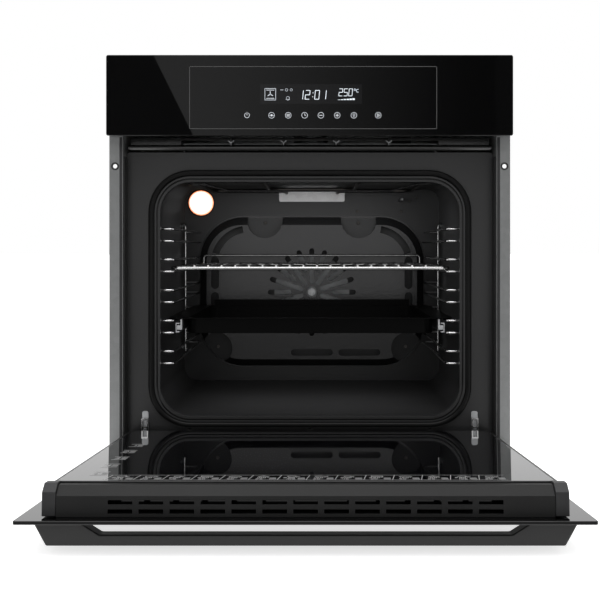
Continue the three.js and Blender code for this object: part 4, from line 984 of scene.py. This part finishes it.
# %% Place the panel's printing
refine("control_glass", BLACK_GLASS, 0.8 * MM, 3)
upright_turn = Matrix.Rotation(math.radians(90), 4, "X")
on_panel = Matrix.Translation((0, panel_low.y - INK, 0)) @ upright_turn
nearer_glass = Matrix.Translation((0, panel_low.y - INK / 3, 0)) @ upright_turn
panel_z = (panel_low.z + panel_high.z) / 2
FIELD_L, FIELD_R, LINE = -0.1757, 0.1861, 0.0008
FIELD_LOW, FIELD_HIGH = panel_z - 0.0493, panel_z + 0.0423
edge = [
    flat_box(FIELD_L, FIELD_R, FIELD_HIGH - LINE, FIELD_HIGH),
    flat_box(FIELD_L, FIELD_R, FIELD_LOW, FIELD_LOW + LINE),
    flat_box(FIELD_L, FIELD_L + LINE, FIELD_LOW, FIELD_HIGH),
    flat_box(FIELD_R - LINE, FIELD_R, FIELD_LOW, FIELD_HIGH),
]
lay(edge, "panel_field_line", "oven", PRINT_DARK, on_panel)
window = [flat_box(-0.0722, 0.0764, panel_z - 0.0125, panel_z + 0.0162)]
lay(window, "display_window", "oven", WINDOW_GLASS, nearer_glass)

# %% Light the display
clock = digits("12:01", -0.0165, panel_z - 0.0058, 0.0062, 0.0128, 0.0009, 0.0098)
heat = digits("250°", 0.0425, panel_z - 0.0010, 0.0050, 0.0104, 0.0008, 0.0072)
heat += loop(0.0702, panel_z + 0.0066, 0.0021, 0.0006, 14, 60, 240)
RISING_X, RISING_Z, RISING_PITCH = 0.0415, panel_z - 0.0070, 0.0042
for i in range(6):
    x = RISING_X + i * RISING_PITCH
    heat.append(flat_box(x, x + 0.0034, RISING_Z, RISING_Z + 0.0006 + 0.0004 * i))
MODE_X, MODE_Z, BLADE, BELL_X, BELL_Z = -0.0575, panel_z + 0.0014, 0.0040, -0.0318, panel_z - 0.0040
MODE_BARS = [
    (-65.3, -6.9, -49.6, -6.9, 0.8),
    (-65.3, 9.8, -49.6, 9.8, 0.8),
    (-65.3, -6.9, -65.3, 9.8, 0.8),
    (-49.6, -6.9, -49.6, 9.8, 0.8),
    (-63.0, 7.5, -51.9, 7.5, 1.0),
    (-63.0, -4.6, -51.9, -4.6, 1.0),
    (-42.5, 7.8, -38.5, 7.8, 0.8),
]
mode = bars(0, panel_z, MODE_BARS)
for i in range(3):
    angle = math.radians(90 + 120 * i)
    tip = (MODE_X + BLADE * math.cos(angle), MODE_Z + BLADE * math.sin(angle))
    mode.append(stroke(MODE_X, MODE_Z, *tip, 0.0013))
mode += loop(-0.0338, panel_z + 0.0078, 0.0019, 0.0006, 12)
mode += loop(-0.0268, panel_z + 0.0078, 0.0017, 0.0006, 12)
BELL_BARS = [(-2.9, -2.2, 2.9, -2.2, 0.7), (-2.2, 0, -2.2, -2.2, 0.7), (2.2, 0, 2.2, -2.2, 0.7)]
bell = loop(BELL_X, BELL_Z, 0.0022, 0.0007, 16, 0, 180) + bars(BELL_X, BELL_Z, BELL_BARS)
bell.append(spot(BELL_X, BELL_Z - 0.0033, 0.0006))
lay(clock + heat, "display_figures", "oven", PRINT_WHITE, on_panel)
lay(mode + bell, "display_symbols", "oven", PRINT_LIT_DIM, on_panel)

# %% Print the touch keys
KEY_Z, KEY_R = panel_z - 0.0293, 0.0042
KEYS = (-0.0915, -0.0556, -0.0313, -0.0073, 0.0165, 0.0403, 0.0647, 0.1002)
KEY_BARS = (
    [(0, 0, 0, 4.2, 0.8)],
    [(-2.8, 0, 2.8, 0, 0.7)],
    [(-2.2, k, 2.2, k, 0.7) for k in (-1.4, 0, 1.4)],
    [(0, 0, 0, 2.6, 0.7), (0, 0, 2.0, 0, 0.7)],
    [(-2.2, 0, 2.2, 0, 0.9)],
    [(-2.2, 0, 2.2, 0, 0.9), (0, -2.2, 0, 2.2, 0.9)],
    [(-0.8, -2.2, 0.8, -2.2, 0.7)],
    [(-1.2, 2.1, 2.1, 0, 0.8), (-1.2, -2.1, 2.1, 0, 0.8), (-1.2, -2.1, -1.2, 2.1, 0.8)],
)
keys = loop(KEYS[0], KEY_Z, 0.0036, 0.0008, 24, 125, 290)
for x in KEYS[1:]:
    keys += loop(x, KEY_Z, KEY_R, 0.0007, 26)
keys.append(spot(KEYS[1], KEY_Z, 0.0016))
keys += loop(KEYS[6], KEY_Z + 0.0006, 0.0015, 0.0007, 12)
for x, rows in zip(KEYS, KEY_BARS):
    keys += bars(x, KEY_Z, rows)
lay(keys, "touch_keys", "oven", PRINT_KEYS, on_panel)

# %% [markdown]
# ## Door
# The door hangs open from its hinges, so its pieces are drawn as if it were shut and then turned about
# the hinge axis. Its panes have ground edges, and its cap, rails and handle are painted aluminium.

# %% Refine the door
DOOR_OPEN, AXIS_IN, AXIS_Z = math.radians(86.5), 0.020, 0.027
axis_at = Vector((0, panel_low.y + AXIS_IN, AXIS_Z))
door_place = Matrix.Translation(axis_at) @ Matrix.Rotation(DOOR_OPEN, 4, "X")
refine("door_outer_glass", BLACK_GLASS, 0.8 * MM, 3)
refine("door_inner_glass", INNER_GLASS, 0.8 * MM, 3)
refine("door_middle_glass", INNER_GLASS, 0.5 * MM)
refine("door_top_cap", CAP_PAINT, 0.45 * MM)
refine("door_bottom_rail", BLACK_METAL, 0.3 * MM)
refine("door_handle", BLACK_METAL, 1.6 * MM, 4)
for side in ("left", "right"):
    refine("door_side_rail_" + side, BLACK_METAL, 0.3 * MM)
    refine("door_cap_end_" + side, BLACK_PLASTIC, 0.9 * MM, 3)
    refine("hinge_channel_" + side, STEEL, 0.3 * MM)
    refine("spring_rod_" + side, STEEL, 0.5 * MM)
    refine("hinge_arm_" + side, STEEL, 0.5 * MM)
    refine("hinge_receiver_" + side, STEEL, 0.3 * MM)
    refine("hinge_catch_" + side, CHROME, 0.4 * MM)

# %% Wind the hinge springs
SPRING_R, SPRING_WIRE, SPRING_TURNS = 0.0040, 0.00085, 24
SPRING_X, SPRING_Y, SPRING_LOW, SPRING_HIGH = 0.248, -0.007, 0.0625, 0.1490
rise = (SPRING_HIGH - SPRING_LOW - 2 * SPRING_WIRE) / SPRING_TURNS
for side, s in (("left", -1), ("right", 1)):
    bpy.ops.mesh.primitive_circle_add(
        vertices=8, radius=SPRING_WIRE, location=(SPRING_R, 0, 0), rotation=(math.radians(90), 0, 0)
    )
    coil = bpy.context.object
    bpy.ops.object.transform_apply(location=True, rotation=True, scale=True)
    modify(coil, "SCREW", axis="Z", screw_offset=rise, iterations=SPRING_TURNS, steps=14, render_steps=14)
    bpy.ops.object.mode_set(mode="EDIT")
    bpy.ops.mesh.select_all(action="SELECT")
    bpy.ops.mesh.remove_doubles(threshold=0.000005)
    bpy.ops.mesh.normals_make_consistent(inside=False)
    bpy.ops.object.mode_set(mode="OBJECT")
    coil.matrix_world = door_place @ Matrix.Translation((s * SPRING_X, SPRING_Y, SPRING_LOW + SPRING_WIRE))
    settle(coil, f"hinge_spring_{side}_coil", "door", CHROME, 60)
    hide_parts("hinge_spring_" + side)

# %% [markdown]
# The inner pane carries a cooking chart along its free edge, and a mark for each shelf level by its
# left side. The chart's dishes are plain outlines: a fish, a bird, a pie, a loaf, a cake and a joint.

# %% Draw the cooking chart
PANE_FACE = 0.018  # from the hinge axis to the inner pane's inner face
INK_W, DISH_UP, HEAT_UP, TIME_UP = 0.0007, 0.0205, 0.0105, 0.0030
CHART_X, CHART_Y, CHART_H, CELLS = 0.214, -0.4080, 0.028, 14
FIGURE = (0.0026, 0.0042, INK_W, 0.0042)  # width, height, weight and pitch
W = INK_W / MM
facing_in = Matrix.Rotation(math.radians(-90), 4, "X")
on_door = door_place @ Matrix.Translation((0, PANE_FACE + INK, 0)) @ facing_in


def fish(x, y):
    tail = bars(x, y, [(5.5, 0, 8.5, 2, W), (5.5, 0, 8.5, -2, W)])
    return loop(x, y, 0.0026, INK_W, 16, stretch=2.1) + tail


def bird(x, y):
    body = loop(x, y, 0.0034, INK_W, 16, stretch=1.4)
    return body + bars(x, y, [(4, -1, 8, -3, 2 * W)]) + [spot(x + 0.008, y - 0.003, 0.0008)]


def pie(x, y):
    sides = bars(x, y, [(-6, -3, 6, -3, W), (6, -3, 0, 4, W), (0, 4, -6, -3, W)])
    return sides + [spot(x, y - 0.0005, 0.0008)]


def loaf(x, y):
    return loop(x, y - 0.002, 0.0045, INK_W, 16, 0, 180, 1.5) + bars(x, y, [(-6.8, -2, 6.8, -2, W)])


def cake(x, y):
    rows = [(-6, k, 6, k, W) for k in (-3, 0, 3)]
    return bars(x, y, rows + [(k, -3, k, 3, W) for k in (-6, 6)])


def joint(x, y):
    return loop(x - 0.001, y, 0.0030, INK_W, 14, stretch=1.3) + loop(x + 0.0045, y, 0.0011, INK_W, 10)


dishes = (fish, bird, pie, loaf, cake, joint)
heats = ("200°", "150°", "230°", "100°", "120°", "250°")
times = ("30", "45", "20", "105", "25", "50")
cell = 2 * CHART_X / CELLS
chart = [stroke(-CHART_X, CHART_Y + k, CHART_X, CHART_Y + k, INK_W * 0.8) for k in (0, CHART_H)]
for i in range(CELLS):
    x = -CHART_X + cell * i
    chart.append(stroke(x, CHART_Y, x + 0.004, CHART_Y + CHART_H, INK_W))
    chart += dishes[(i * 5 + 1) % 6](x + 0.5 * cell, CHART_Y + DISH_UP)
    chart += digits(heats[(i * 5 + 2) % 6], x + 0.0065, CHART_Y + HEAT_UP, *FIGURE)
    chart += digits(times[(i * 5 + 3) % 6], x + 0.0075, CHART_Y + TIME_UP, *FIGURE)
    chart += bars(x, CHART_Y, [(22, 3 + k * 2.2, 29, 3 + k * 2.2, W) for k in range(5)])
lay(chart, "cooking_chart", "door", SILVER_PRINT, on_door)

# %% Draw the level marks
MARK_X, MARK_Y, MARK_PITCH = -0.2345, -0.381, 0.053
marks = []
for i, text in enumerate("54321"):
    y = MARK_Y + MARK_PITCH * i
    marks += bars(MARK_X, y, [(0, k, 17, k, 1.1) for k in (0, 21.5)])
    marks += digits(text, MARK_X + 0.002, y + 0.005, 0.0045, 0.0105, 0.0011, 0.008)
    marks += bars(MARK_X, y, [(10, k, 16.5, k, 1.0) for k in (5, 8.5, 12, 15.5)])
lay(marks, "level_marks", "door", SILVER_PRINT, on_door)

# %% [markdown]
# ## Pieces out of sight
# The motors, the blower, the wiring board and the wool keep their frame solids' shapes, and get real
# surfaces.

# %% Dress what is left
refine("fan_motor", STEEL, 0.6 * MM)
refine("blower_motor", STEEL, 0.6 * MM)
refine("blower_wheel", BLACK_PLASTIC, 0.3 * MM)
refine("control_housing", BLACK_PLASTIC, 0.5 * MM)
nodes["display_board"].data.materials.clear()
nodes["display_board"].data.materials.append(BOARD)
refine("insulation_wrap", WOOL, 3 * MM, 3)

# %% List a slot name for each finish
SLOTS = {
    BLACK_GLASS: "black_glass",
    INNER_GLASS: "black_glass",
    WINDOW_GLASS: "black_glass",
    FRAME_ENAMEL: "black_enamel",
    CAVITY_ENAMEL: "black_enamel",
    LINER_ENAMEL: "black_enamel",
    OUTLET_ENAMEL: "black_enamel",
    LIP_ENAMEL: "black_enamel",
    TRAY_ENAMEL: "black_enamel",
    ZINC: "zinc",
    BRACKET_ZINC: "zinc",
    FLANGE_GREY: "zinc",
    STEEL: "steel",
    HEATER: "steel",
    CHROME: "chrome",
    BLACK_METAL: "black_metal",
    CAP_PAINT: "black_metal",
    BLACK_PLASTIC: "black_plastic",
    RUBBER: "rubber",
    WOOL: "wool",
    BOARD: "circuit_board",
    LAMP_GLASS: "lamp_glass",
}
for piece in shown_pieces():
    looks = [slot.material for slot in piece.material_slots]
    piece not in nodes.values() and looks and looks[0] in SLOTS

# %% Print the sizes
low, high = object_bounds()
print("visual box", tuple(low), tuple(high))
